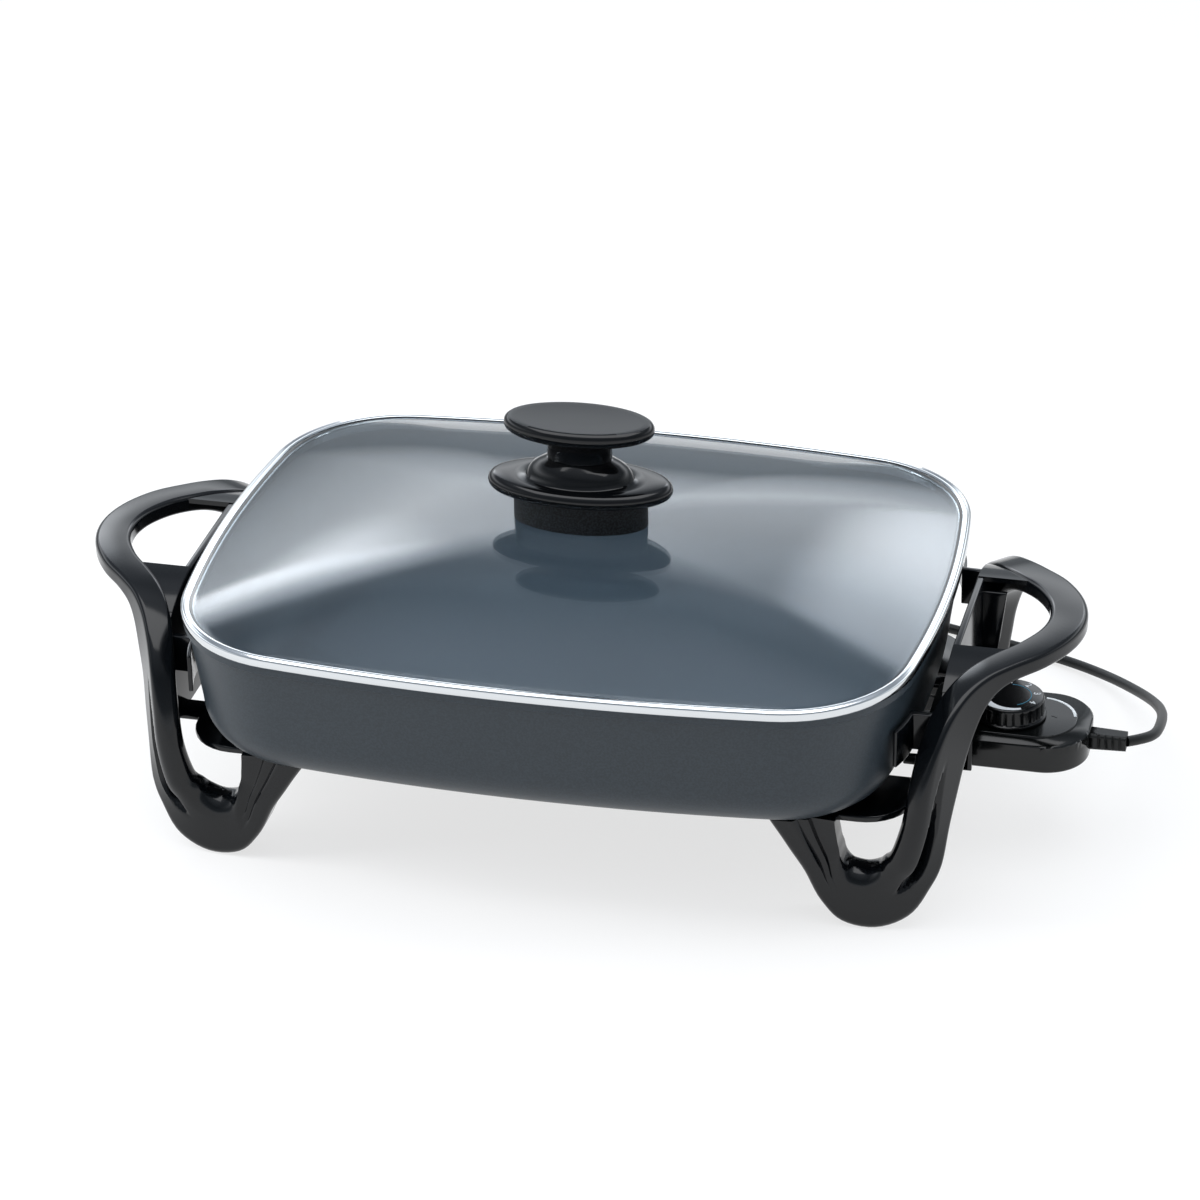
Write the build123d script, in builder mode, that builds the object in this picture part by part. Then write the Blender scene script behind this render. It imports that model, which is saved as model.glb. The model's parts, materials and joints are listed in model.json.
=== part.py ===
"""Electric skillet: cast pan on two moulded end frames, lift-off glass lid, and a plug-in heat control.

Units are millimetres. X runs along the pan towards the heat control, Y across it, Z up.
The origin is on the surface that the skillet stands on, below the centre of the pan.
"""

from build123d import *

import math
import os

# ---------------------------------------------------------------- driving dimensions

# Lid band and pan outline: four bowed sides joined by four tangent corners.
LID_LENGTH = 424.0
LID_WIDTH = 326.0
LONG_BOW = 1254.0  # radius of the two long sides
SHORT_BOW = 721.0  # radius of the two short sides
CORNER = 75.6
RIM_Z = 146.0  # top of the pan rim

# Pan
PAN_INSET = 1.0  # rim outline inside the lid band
PAN_DEPTH = 78.0
PAN_WALL = 3.6
PAN_FLOOR = 4.4
PAN_DRAFT = 11.0  # how far a wall leans in from rim to base
PAN_ROUND = 28.0  # outer radius between wall and base
RIM_BEAD = 1.4
RIM_BEAD_HEIGHT = 5.0

# Lid
SHEET = 0.7  # steel sheet of the band
GLASS = 4.0
BAND_LIP = 5.0
SKIRT_DROP = 4.0
SKIRT_GAP = 1.6
GLASS_CROWN = 23.0  # rise of the dome above its edge
DOME_POWER = 2.4
DOME_STEPS = (1.0, 0.94, 0.82, 0.64, 0.44, 0.24)
LID_HOLE = 8.0

# Knob
SEAT_LENGTH = 77.0
SEAT_WIDTH = 40.0
SEAT_HEIGHT = 18.0
SHIELD_LENGTH = 106.0
SHIELD_WIDTH = 53.0
SHIELD_THICK = 9.0
BELL_LENGTH = 62.0
BELL_WIDTH = 38.0
BELL_HEIGHT = 12.0
NECK_LENGTH = 37.0
NECK_WIDTH = 24.0
NECK_HEIGHT = 9.0
CAP_LENGTH = 86.0
CAP_WIDTH = 45.0
CAP_THICK = 8.0
CAP_LEDGE = 3.0  # step between the taper and the cap's rim
CAP_FLARE = 7.0  # height of the taper under the cap
WASHER_THICK = 1.5
KNOB_SCREW = 5.0
KNOB_SCREW_HEAD = 10.0
KNOB_SCREW_HEIGHT = 3.0
KNOB_SCREW_REACH = 3.0  # air between the screw's tip and the end of its hole
HEAD_ROUND = 1.6  # round edge of the larger screw heads
KNOB_WASHER = 22.0

# End frames
HANDLE_REACH = 286.5  # outermost point of each handle loop
HANDLE_Z = 137.0  # middle of the handle ribbon
HANDLE_THICK = 10.5
APRON_X = 218.5
APRON_THICK = 4.0
APRON_HALF = 96.0
APRON_SHOULDER = 62.0  # half width at the top
APRON_WAIST_Z = 98.0
APRON_BASE_Z = 61.0
APRON_TOP_Z = 141.5
APRON_CORNER = 18.0
STRAP_THICK = 5.0
STRAP_REACH_X = 206.0
STRAP_REACH_Y = 116.0
STRAP_INNER_X = 126.0
STRAP_WIDTH = 31.0
STRAP_CORNER = 27.0
STRAP_END_Y = 60.0
STRAND_END_X = 112.0
STRAND_GAP = 1.5  # between the inner strands and the pan
TRIM_X = 200.0
FOOT_X = 186.5
WEB_INNER_X = 192.0
WEB_FOOT_X = 229.0
WEB_TIP_X = 264.0
WEB_TOP_Z = 131.5
BOSS_X = 161.0
BOSS_Y = 96.0
BOSS_RADIUS = 7.0
BOSS_HEIGHT = 5.0
FRAME_SCREW = 4.8
FRAME_SCREW_HEAD = 9.0
FRAME_SCREW_HEIGHT = 3.0
FRAME_SCREW_GRIP = 1.0  # how far the screw runs on into the pan's floor
SCREW_CLEAR = 0.4
SECTIONS_PER_SPAN = 2
BAR_ROUND = 0.38  # corner radius of the bar as a share of its thinner side

# Heating element and its terminals
ELEMENT = 8.0
ELEMENT_X = 132.0
ELEMENT_Y = 72.0
ELEMENT_TURN = 18.0  # from the loop's straight end to the corner before the terminals
ELEMENT_END_X = 184.0
BEND_TERMINAL = 12.0
BEND_FRONT = 30.0
BEND_BACK = 45.0
CHANNEL_END_X = 143.0
RIB = 3.0
RIB_HEIGHT = 6.0
PIN = 4.6
PIN_SPACING = 22.0
PIN_LENGTH = 26.0
BUSH = 8.6
BUSH_LENGTH = 9.0
PROBE = 6.4
PROBE_GAP = 0.3
LUG_X = 152.0
LUG_END_X = 190.0
LUG_WIDTH = 13.0

# Heat control
CONTROL_NOSE_X = 200.0
CONTROL_END_X = 291.0
CONTROL_WIDTH = 62.0
CONTROL_BASE_Z = 58.0
CONTROL_SPLIT_Z = 69.0  # where the upper housing sits on the lower one
CONTROL_TOP_Z = 75.5
CONTROL_ROUND = 25.0
CONTROL_WALL = 2.0
CONTROL_EDGE = 2.0
NOSE_ROUND = 4.0
DECK_RISE = 1.2
DECK_INSET = 8.0
DECK_ROUND = 22.0
LENS_WIDTH = 1.6
LENS_START = 8.0  # degrees round the deck's end
LENS_SWEEP = 78.0
LAMP = 4.0
LAMP_LENGTH = 11.0
CONTROL_POST = 7.0
CONTROL_POST_MARGIN = 9.0  # from the control's straight sides to its screws
CONTROL_POST_X = (210.0, 274.0)
CONTROL_SCREW = 2.6
CONTROL_SCREW_HEAD = 5.0
CONTROL_SCREW_LENGTH = 11.0
GUARD_GAP = 7.0  # between the control and the guard beside it
GUARD_WALL = 3.0
GUARD_ARCH_Z = 97.0
GUARD_CORNER = 14.0
GUARD_RIM = 8.0

# Probe, contacts and thermostat
PROBE_TIP_X = 158.0
PROBE_WALL = 0.7
PROBE_END_X = 226.0
ROD = 3.6
ROD_END_X = 230.0
SLEEVE_WALL = 0.9
SLEEVE_GAP = 0.3
SLEEVE_LENGTH = 13.0
TAIL_WIDTH = 3.0
TAIL_END_X = 232.0
PLATE_THICK = 1.2
PLATE_HALF = 6.5
PLATE_END_X = 272.0
BLADE_THICK = 0.5
BLADE_HALF = 3.5
BLADE_TIP_X = 232.0
BLADE_GAP = 1.5
CONTACT_GAP = 0.2
SPACER_LENGTH = 10.0
SPACER_BASE = 1.8

# Dial
DIAL_X = 245.0
DIAL = 38.5
DIAL_HEIGHT = 11.5
DIAL_FOOT = 41.0
DIAL_FOOT_HEIGHT = 1.8
DIAL_GAP = 0.5
DIAL_WALL = 2.4
DIAL_HUB = 11.0
DIAL_FLUTES = 24
FLUTE = 3.2
FLUTE_DEPTH = 0.7
SHAFT = 6.0
SHAFT_GAP = 0.05
SHAFT_COLLAR = 9.0
COLLAR_THICK = 1.0
COLLAR_GAP = 0.2

# Strain relief, cord and plug
RELIEF_Z = 66.5
RELIEF_LENGTH = 20.0
RELIEF_WIDTH = 11.0
RELIEF_HEIGHT = 10.0
RELIEF_NECK = 7.0
RELIEF_FLANGE = 2.0
RELIEF_GROOVES = 4
CORD = 6.0
FLOOR_GAP = 0.4  # air under a cord that lies on the surface
COIL = 66.0  # across the middle of the turns
COIL_X = 66.0
COIL_Y = 276.0
COIL_LAYERS = 2
TIE_THICK = 0.5
TIE_TURN = 14.0
PLUG_X = 4.0  # where the cord enters the plug
PLUG_Z = 7.0
PLUG_LENGTH = 32.0
PLUG_WIDTH = 24.0
PLUG_HEIGHT = 13.0
PLUG_NECK = 10.0
PRONG_LENGTH = 17.0
PRONG_HEIGHT = 6.3
PRONG_THICK = 1.5
PRONG_SPACING = 12.7


# ---------------------------------------------------------------- shared forms


def bowed_outline(inset=0.0, scale=1.0):
    """The lid's outline, moved in by inset, then scaled: four bowed sides and four round corners."""
    length = (LID_LENGTH - 2 * inset) * scale
    width = (LID_WIDTH - 2 * inset) * scale
    long_bow = (LONG_BOW - inset) * scale
    short_bow = (SHORT_BOW - inset) * scale
    with BuildSketch(mode=Mode.PRIVATE) as outline:
        with Locations((0, width / 2 - long_bow)):
            Circle(long_bow)
        with Locations((0, long_bow - width / 2)):
            Circle(long_bow, mode=Mode.INTERSECT)
        with Locations((length / 2 - short_bow, 0)):
            Circle(short_bow, mode=Mode.INTERSECT)
        with Locations((short_bow - length / 2, 0)):
            Circle(short_bow, mode=Mode.INTERSECT)
        fillet(outline.vertices(), (CORNER - inset) * scale)
    return outline.sketch


def ring(outer_inset, inner_inset):
    """A flat ring between two insets of the lid's outline."""
    with BuildSketch(mode=Mode.PRIVATE) as band:
        add(bowed_outline(outer_inset))
        add(bowed_outline(inner_inset), mode=Mode.SUBTRACT)
    return band.sketch


def save(part, name):
    """Labels a finished piece and writes it."""
    part.label = name
    export_step(part, f"parts/{name}.step")


os.makedirs("parts", exist_ok=True)

pan_base_z = RIM_Z - PAN_DEPTH
strap_z = pan_base_z - BOSS_HEIGHT  # top of the straps, where the pan's bosses rest
element_z = pan_base_z - ELEMENT / 2

# ---------------------------------------------------------------- heating element

# The element runs round under the pan and turns in between two corners to its terminals.
element_turn = (ELEMENT_X + ELEMENT_TURN, PIN_SPACING / 2)
element_loop = (
    element_turn,
    (ELEMENT_X, ELEMENT_Y),
    (-ELEMENT_X, ELEMENT_Y),
    (-ELEMENT_X, -ELEMENT_Y),
    (ELEMENT_X, -ELEMENT_Y),
    (element_turn[0], -element_turn[1]),
)
element_ends = ((ELEMENT_END_X, PIN_SPACING / 2), (ELEMENT_END_X, -PIN_SPACING / 2))

with BuildPart() as heating_element:
    with BuildLine() as element_path:
        FilletPolyline(
            *[(x, y, element_z) for x, y in (element_ends[0], *element_loop, element_ends[1])],
            radius=[BEND_TERMINAL, BEND_FRONT, BEND_BACK, BEND_BACK, BEND_FRONT, BEND_TERMINAL],
        )
    with BuildSketch(Plane(origin=element_path.wire() @ 0, z_dir=element_path.wire() % 0)):
        Circle(ELEMENT / 2)
    sweep(path=element_path.wire())
save(heating_element.part, "heating_element")

with BuildPart() as terminal_bushes:
    for side in (-1, 1):
        with BuildSketch(Plane.YZ.offset(ELEMENT_END_X)):
            with Locations((side * PIN_SPACING / 2, element_z)):
                Circle(BUSH / 2)
                Circle(PIN / 2, mode=Mode.SUBTRACT)
        extrude(amount=BUSH_LENGTH)
save(terminal_bushes.part, "terminal_bushes")

with BuildPart() as terminal_pins:
    for side in (-1, 1):
        with BuildSketch(Plane.YZ.offset(ELEMENT_END_X)):
            with Locations((side * PIN_SPACING / 2, element_z)):
                Circle(PIN / 2)
        extrude(amount=PIN_LENGTH)
    chamfer(terminal_pins.faces().filter_by(Axis.X).group_by(Axis.X)[-1].edges(), PIN / 4)
save(terminal_pins.part, "terminal_pins")

# ---------------------------------------------------------------- pan


def channel_band(half_width):
    """Plan of a band of that half width along the element, up to where it turns to its terminals."""
    with BuildSketch(mode=Mode.PRIVATE) as loop:
        with BuildLine():
            Polyline(*element_loop, close=True)
        make_face()
        corners = loop.vertices().filter_by(lambda v: abs(v.Y) > ELEMENT_Y / 2)
        fillet(corners.filter_by(lambda v: v.X < 0), BEND_BACK)
        corners = loop.vertices().filter_by(lambda v: abs(v.Y) > ELEMENT_Y - 1 and v.X > ELEMENT_X - 1)
        fillet(corners, BEND_FRONT)
    with BuildSketch(mode=Mode.PRIVATE) as band:
        offset(loop.sketch, half_width)
        offset(loop.sketch, -half_width, mode=Mode.SUBTRACT)
        with Locations((CHANNEL_END_X - 2 * ELEMENT_X, 0)):
            Rectangle(4 * ELEMENT_X, 4 * ELEMENT_Y, mode=Mode.INTERSECT)
    return band.sketch


# Cooking space: same taper as the outside, one wall inside it.
with BuildPart() as cavity:
    with BuildSketch(Plane.XY.offset(RIM_Z)):
        add(bowed_outline(PAN_INSET + RIM_BEAD + PAN_WALL))
    with BuildSketch(Plane.XY.offset(pan_base_z + PAN_FLOOR)):
        add(bowed_outline(PAN_INSET + RIM_BEAD + PAN_WALL + PAN_DRAFT))
    loft(ruled=True)
    fillet(cavity.faces().sort_by(Axis.Z)[0].edges(), PAN_ROUND - PAN_WALL)

with BuildPart() as pan:
    # Outer form: walls that lean in towards the base, with a large radius round the base.
    with BuildSketch(Plane.XY.offset(RIM_Z)):
        add(bowed_outline(PAN_INSET + RIM_BEAD))
    with BuildSketch(Plane.XY.offset(pan_base_z)):
        add(bowed_outline(PAN_INSET + RIM_BEAD + PAN_DRAFT))
    loft(ruled=True)
    fillet(pan.faces().sort_by(Axis.Z)[0].edges(), PAN_ROUND)
    # A low bead stiffens the rim.
    with BuildSketch(Plane.XY.offset(RIM_Z - RIM_BEAD_HEIGHT)):
        add(bowed_outline(PAN_INSET))
    extrude(amount=RIM_BEAD_HEIGHT)
    # Bosses for the frame screws, the cast channel round the element, and the lug for the probe.
    with BuildSketch(Plane.XY.offset(strap_z)):
        with GridLocations(2 * BOSS_X, 2 * BOSS_Y, 2, 2):
            Circle(BOSS_RADIUS)
    extrude(amount=BOSS_HEIGHT + PAN_FLOOR / 2)
    with BuildSketch(Plane.XY.offset(pan_base_z - RIB_HEIGHT)):
        add(channel_band(ELEMENT / 2 + RIB))
    extrude(amount=RIB_HEIGHT + PAN_FLOOR / 2)
    with BuildSketch(Plane.XY.offset(element_z - LUG_WIDTH / 2)):
        with Locations(((LUG_X + LUG_END_X) / 2, 0)):
            Rectangle(LUG_END_X - LUG_X, LUG_WIDTH)
    extrude(amount=pan_base_z + PAN_ROUND / 2 - element_z + LUG_WIDTH / 2)
    add(cavity.part, mode=Mode.SUBTRACT)
    # Groove for the element, bore for the probe, and blind holes for the frame screws.
    with BuildSketch(Plane.XY.offset(pan_base_z - RIB_HEIGHT)):
        add(channel_band(ELEMENT / 2))
    extrude(amount=RIB_HEIGHT, mode=Mode.SUBTRACT)
    with BuildSketch(Plane.YZ.offset(LUG_END_X)):
        with Locations((0, element_z)):
            Circle(PROBE / 2 + PROBE_GAP)
    extrude(amount=-(LUG_END_X - LUG_X - RIB), mode=Mode.SUBTRACT)
    with BuildSketch(Plane.XY.offset(strap_z)):
        with GridLocations(2 * BOSS_X, 2 * BOSS_Y, 2, 2):
            Circle(FRAME_SCREW / 2)
    extrude(amount=BOSS_HEIGHT + PAN_FLOOR / 2, mode=Mode.SUBTRACT)
save(pan.part, "pan")

# ---------------------------------------------------------------- end frames

# Stations down one half of a frame, from the middle of the handle loop to the top of the inner strand.
# Each is x, y, z, the bearing in plan of its outward face, its depth along that bearing, and its breadth.
FRAME_STATIONS = (
    (HANDLE_REACH - 10.5, 0, HANDLE_Z, 0, 21, HANDLE_THICK),
    (HANDLE_REACH - 14, -19, HANDLE_Z, 18, 20.5, HANDLE_THICK),
    (262.5, -37, HANDLE_Z - 0.5, 40, 20, HANDLE_THICK),
    (249.5, -51, HANDLE_Z - 2, 52, 19, 11),
    (239.5, -62, 131.5, 52, 18, 14),
    (232.0, -73, 125, 46, 17, 19),
    (226.5, -84, 114.5, 38, 15.5, 25),
    (222.5, -93, 101, 32, 14.5, 29),
    (219.0, -101, 83, 32, 14.5, 30),
    (215.5, -106.5, 63, 35, 15.5, 28.5),
    (210.5, -108.5, 44, 46, 17.5, 25),
    (203.5, -108, 27.5, 62, 20, 22.5),
    (189.0, -106.5, 9.6, 84, 22, 21.5),
    (173.5, -108.5, 15.5, 88, 22, 20),
    (162.5, -110.5, 28.5, 90, 21, 19),
    (154.5, -112, 42.5, 92, 20, 19),
    (147.5, -113, 54.5, 94, 19, 21),
    (141.5, -113.5, 66, 94, 18, 26),
)



def bar_plane(share, bearing):
    """Plane across the bar at a share of its path, its x direction turned to the bearing."""
    along = leg_path.tangent_at(share) if share else Vector(0, -1, 0)
    outward = Vector(math.cos(math.radians(bearing)), -math.sin(math.radians(bearing)), 0)
    return Plane(origin=leg_path.position_at(share), x_dir=outward, z_dir=along)


leg_path = Edge.make_spline([Vector(*station[:3]) for station in FRAME_STATIONS])
stations = [(leg_path.param_at_point(Vector(*station[:3])), *station[3:]) for station in FRAME_STATIONS]
bar_sections = []
for before, after in zip(stations, stations[1:]):
    for step in range(SECTIONS_PER_SPAN):
        bar_sections.append([a + (b - a) * step / SECTIONS_PER_SPAN for a, b in zip(before, after)])
bar_sections.append(stations[-1])

# One handle half, its leg and foot: rounded sections along the path, turned to their bearings.
with BuildPart() as leg:
    for share, bearing, depth, breadth in bar_sections:
        with BuildSketch(bar_plane(share, bearing)):
            RectangleRounded(depth, breadth, min(depth, breadth) * BAR_ROUND)
    loft(ruled=True)

guard_inner = CONTROL_WIDTH / 2 + GUARD_GAP
guard_outer = guard_inner + GUARD_WALL
strap_corner_x = STRAP_REACH_X - STRAP_WIDTH
strap_corner_y = STRAP_REACH_Y - STRAP_WIDTH
apron_middle_x = APRON_X + APRON_THICK / 2

# Apron between the legs, beside the pan's end wall: the half on the -Y side.
with BuildPart() as apron:
    with BuildSketch(Plane.YZ.offset(APRON_X)):
        with BuildLine():
            FilletPolyline(
                (0, APRON_TOP_Z),
                (-APRON_SHOULDER, APRON_TOP_Z),
                (-APRON_HALF, APRON_WAIST_Z),
                (-APRON_HALF, APRON_BASE_Z),
                radius=APRON_CORNER,
            )
            Polyline((-APRON_HALF, APRON_BASE_Z), (0, APRON_BASE_Z), (0, APRON_TOP_Z))
        make_face()
    extrude(amount=APRON_THICK)

# Strap that follows the pan's corner from the inner strand round to the apron.
with BuildPart() as strap:
    with BuildSketch(Plane.XY.offset(strap_z - STRAP_THICK)):
        with BuildLine():
            FilletPolyline(
                (STRAP_INNER_X, -STRAP_REACH_Y),
                (STRAP_REACH_X, -STRAP_REACH_Y),
                (STRAP_REACH_X, -strap_corner_y),
                radius=STRAP_CORNER,
            )
            Polyline(
                (STRAP_REACH_X, -strap_corner_y),
                (apron_middle_x, -strap_corner_y),
                (apron_middle_x, -STRAP_END_Y),
                (strap_corner_x, -STRAP_END_Y),
                (strap_corner_x, -strap_corner_y),
                (STRAP_INNER_X, -strap_corner_y),
                (STRAP_INNER_X, -STRAP_REACH_Y),
            )
        make_face()
    extrude(amount=STRAP_THICK)

# Web beside the heat control, from under the pan up to the handle.
with BuildPart() as guard_web:
    with BuildSketch(Plane.XZ.offset(guard_inner)):
        with BuildLine():
            Polyline((WEB_INNER_X, APRON_BASE_Z), (WEB_FOOT_X, APRON_BASE_Z), (WEB_FOOT_X + 2, 90))
            Spline((WEB_FOOT_X + 2, 90), (WEB_FOOT_X + 8, 107), (WEB_FOOT_X + 20, 121), (WEB_TIP_X, WEB_TOP_Z))
            Polyline(
                (WEB_TIP_X, WEB_TOP_Z),
                (APRON_X + 1, WEB_TOP_Z),
                (APRON_X + 1, pan_base_z),
                (WEB_INNER_X, pan_base_z - 1),
                (WEB_INNER_X, APRON_BASE_Z),
            )
        make_face()
    extrude(amount=GUARD_WALL)

# Raised rim round the opening for the heat control: the half on the -Y side, and the opening itself.
with BuildPart() as guard_rim:
    with BuildSketch(Plane.YZ.offset(APRON_X)) as arch:
        with Locations((-guard_outer / 2, (APRON_BASE_Z + GUARD_ARCH_Z + GUARD_WALL) / 2)):
            Rectangle(guard_outer, GUARD_ARCH_Z + GUARD_WALL - APRON_BASE_Z)
        fillet(arch.vertices().group_by(Axis.Y)[-1].sort_by(Axis.X)[0], GUARD_CORNER + GUARD_WALL)
    extrude(amount=APRON_THICK + GUARD_RIM)

with BuildPart() as guard_opening:
    with BuildSketch(Plane.YZ.offset(APRON_X - APRON_THICK)) as opening:
        with Locations((-guard_inner / 2, (APRON_BASE_Z + GUARD_ARCH_Z) / 2 - 5)):
            Rectangle(guard_inner, GUARD_ARCH_Z - APRON_BASE_Z + 10)
        fillet(opening.vertices().group_by(Axis.Y)[-1].sort_by(Axis.X)[0], GUARD_CORNER)
    extrude(amount=3 * APRON_THICK + GUARD_RIM)


def end_frame(with_guard):
    """The frame at the +X end: handle loop, two legs, apron, and the straps that carry the pan."""
    with BuildPart(mode=Mode.PRIVATE) as half:
        add(leg.part)
        add(apron.part)
        add(strap.part)
        if with_guard:
            add(guard_web.part)
            add(guard_rim.part)
            add(guard_opening.part, mode=Mode.SUBTRACT)
        # Clear the underside of the pan, flatten the foot, and drill for the frame screw.
        with BuildSketch(Plane.XY.offset(pan_base_z - STRAND_GAP)):
            with Locations(((STRAND_END_X + TRIM_X) / 2, -STRAP_REACH_Y)):
                Rectangle(TRIM_X - STRAND_END_X, STRAP_REACH_Y)
        extrude(amount=BOSS_RADIUS * 2, mode=Mode.SUBTRACT)
        with BuildSketch(Plane.XY):
            with Locations((FOOT_X, -STRAP_REACH_Y)):
                Rectangle(STRAP_REACH_Y, STRAP_REACH_Y)
        extrude(amount=-BOSS_HEIGHT, mode=Mode.SUBTRACT)
        with BuildSketch(Plane.XY.offset(strap_z)):
            with Locations((BOSS_X, -BOSS_Y)):
                Circle(FRAME_SCREW / 2 + SCREW_CLEAR)
        extrude(amount=-STRAP_THICK, mode=Mode.SUBTRACT)
    with BuildPart(mode=Mode.PRIVATE) as frame:
        add(half.part)
        add(mirror(half.part, about=Plane.XZ, mode=Mode.PRIVATE))
    return frame.part


with BuildPart() as right_frame:
    add(end_frame(with_guard=True))
save(right_frame.part, "right_frame")

with BuildPart() as left_frame:
    add(mirror(end_frame(with_guard=False), about=Plane.YZ, mode=Mode.PRIVATE))
save(left_frame.part, "left_frame")

for end, name in ((1, "right_frame_screws"), (-1, "left_frame_screws")):
    with BuildPart() as frame_screws:
        with BuildSketch(Plane.XY.offset(strap_z - STRAP_THICK - FRAME_SCREW_HEIGHT)):
            with Locations((end * BOSS_X, BOSS_Y), (end * BOSS_X, -BOSS_Y)):
                Circle(FRAME_SCREW_HEAD / 2)
        extrude(amount=FRAME_SCREW_HEIGHT)
        fillet(frame_screws.edges().group_by(Axis.Z)[0], HEAD_ROUND)
        with BuildSketch(Plane.XY.offset(strap_z - STRAP_THICK)):
            with Locations((end * BOSS_X, BOSS_Y), (end * BOSS_X, -BOSS_Y)):
                Circle(FRAME_SCREW / 2)
        extrude(amount=STRAP_THICK + BOSS_HEIGHT + FRAME_SCREW_GRIP)
    save(frame_screws.part, name)

# ---------------------------------------------------------------- lid

glass_base_z = RIM_Z + SHEET
glass_edge_z = glass_base_z + GLASS
band_top_z = glass_edge_z + SHEET
dome_inset = BAND_LIP + 1
band_ledge = PAN_INSET + RIM_BEAD + PAN_WALL + SKIRT_GAP + SHEET  # inner edge of the sheet under the glass
lid_crown_z = glass_edge_z + GLASS_CROWN * (1 - DOME_STEPS[-1] ** DOME_POWER)

with BuildPart() as lid_band:
    for base_z, height, outer, inner in (
        (RIM_Z, SHEET, 0, band_ledge),
        (RIM_Z, band_top_z - RIM_Z, 0, SHEET),
        (glass_edge_z, SHEET, 0, BAND_LIP),
        (RIM_Z - SKIRT_DROP, SKIRT_DROP, band_ledge - SHEET, band_ledge),
    ):
        with BuildSketch(Plane.XY.offset(base_z)):
            add(ring(outer, inner))
        extrude(amount=height)
save(lid_band.part, "lid_band")


def dome(drop, inset):
    """Solid dome through shrinking copies of the outline, its foot at the glass edge less drop."""
    with BuildPart(mode=Mode.PRIVATE) as form:
        for step in DOME_STEPS:
            rise = GLASS_CROWN * (1 - step**DOME_POWER)
            with BuildSketch(Plane.XY.offset(glass_edge_z - drop + rise)):
                add(bowed_outline(inset, step))
        loft()
    return form.part


with BuildPart() as lid_glass:
    with BuildSketch(Plane.XY.offset(glass_base_z)):
        add(bowed_outline(SHEET))
    extrude(amount=GLASS)
    add(dome(0, dome_inset))
    add(dome(GLASS, dome_inset + 1), mode=Mode.SUBTRACT)
    with BuildSketch(Plane.XY.offset(lid_crown_z)):
        Circle(LID_HOLE / 2)
    extrude(amount=-2 * GLASS, mode=Mode.SUBTRACT)
save(lid_glass.part, "lid_glass")

# ---------------------------------------------------------------- knob

seat_top_z = lid_crown_z + SEAT_HEIGHT
shield_top_z = seat_top_z + SHIELD_THICK
bell_top_z = shield_top_z + BELL_HEIGHT
neck_top_z = bell_top_z + NECK_HEIGHT
cap_z = neck_top_z + CAP_FLARE
knob_top_z = cap_z + CAP_THICK

with BuildPart() as knob_seat:
    with BuildSketch(Plane.XY.offset(lid_crown_z)):
        Ellipse(SEAT_LENGTH / 2, SEAT_WIDTH / 2)
        Circle(LID_HOLE / 2, mode=Mode.SUBTRACT)
    extrude(amount=SEAT_HEIGHT)
save(knob_seat.part, "knob_seat")

with BuildPart() as knob_shield:
    with BuildSketch(Plane.XY.offset(seat_top_z)):
        Ellipse(SHIELD_LENGTH / 2, SHIELD_WIDTH / 2)
    extrude(amount=SHIELD_THICK)
    fillet(knob_shield.edges(), SHIELD_THICK * 0.42)
    with BuildSketch(Plane.XY.offset(shield_top_z)):
        Ellipse(BELL_LENGTH / 2, BELL_WIDTH / 2)
    with BuildSketch(Plane.XY.offset(shield_top_z + BELL_HEIGHT * 0.45)):
        Ellipse(BELL_LENGTH * 0.45, BELL_WIDTH * 0.45)
    with BuildSketch(Plane.XY.offset(bell_top_z)):
        Ellipse(NECK_LENGTH / 2, NECK_WIDTH / 2)
    loft()
    with BuildSketch(Plane.XY.offset(seat_top_z)):
        Circle(LID_HOLE / 2)
    extrude(amount=SHIELD_THICK + BELL_HEIGHT, mode=Mode.SUBTRACT)
save(knob_shield.part, "knob_shield")

with BuildPart() as knob_cap:
    with BuildSketch(Plane.XY.offset(bell_top_z)):
        Ellipse(NECK_LENGTH / 2, NECK_WIDTH / 2)
    extrude(amount=NECK_HEIGHT)
    with BuildSketch(Plane.XY.offset(neck_top_z)):
        Ellipse(NECK_LENGTH / 2, NECK_WIDTH / 2)
    with BuildSketch(Plane.XY.offset(cap_z)):
        Ellipse(CAP_LENGTH / 2 - CAP_LEDGE, CAP_WIDTH / 2 - CAP_LEDGE)
    loft()
    with BuildSketch(Plane.XY.offset(cap_z)):
        Ellipse(CAP_LENGTH / 2, CAP_WIDTH / 2)
    extrude(amount=CAP_THICK)
    fillet(knob_cap.edges().group_by(Axis.Z)[-1], CAP_THICK * 0.6)
    with BuildSketch(Plane.XY.offset(bell_top_z)):
        Circle(KNOB_SCREW / 2)
    extrude(amount=cap_z - bell_top_z, mode=Mode.SUBTRACT)
save(knob_cap.part, "knob_cap")

glass_under_z = lid_crown_z - GLASS
with BuildPart() as knob_washer:
    with BuildSketch(Plane.XY.offset(glass_under_z)):
        Circle(KNOB_WASHER / 2)
        Circle(KNOB_SCREW / 2 + SCREW_CLEAR, mode=Mode.SUBTRACT)
    extrude(amount=-WASHER_THICK)
save(knob_washer.part, "knob_washer")

with BuildPart() as knob_screw:
    with BuildSketch(Plane.XY.offset(glass_under_z - WASHER_THICK)):
        Circle(KNOB_SCREW_HEAD / 2)
    extrude(amount=-KNOB_SCREW_HEIGHT)
    fillet(knob_screw.edges().group_by(Axis.Z)[0], HEAD_ROUND)
    with BuildSketch(Plane.XY.offset(glass_under_z - WASHER_THICK)):
        Circle(KNOB_SCREW / 2)
    extrude(amount=cap_z - KNOB_SCREW_REACH - glass_under_z + WASHER_THICK)
save(knob_screw.part, "knob_screw")

# ---------------------------------------------------------------- heat control

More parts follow.
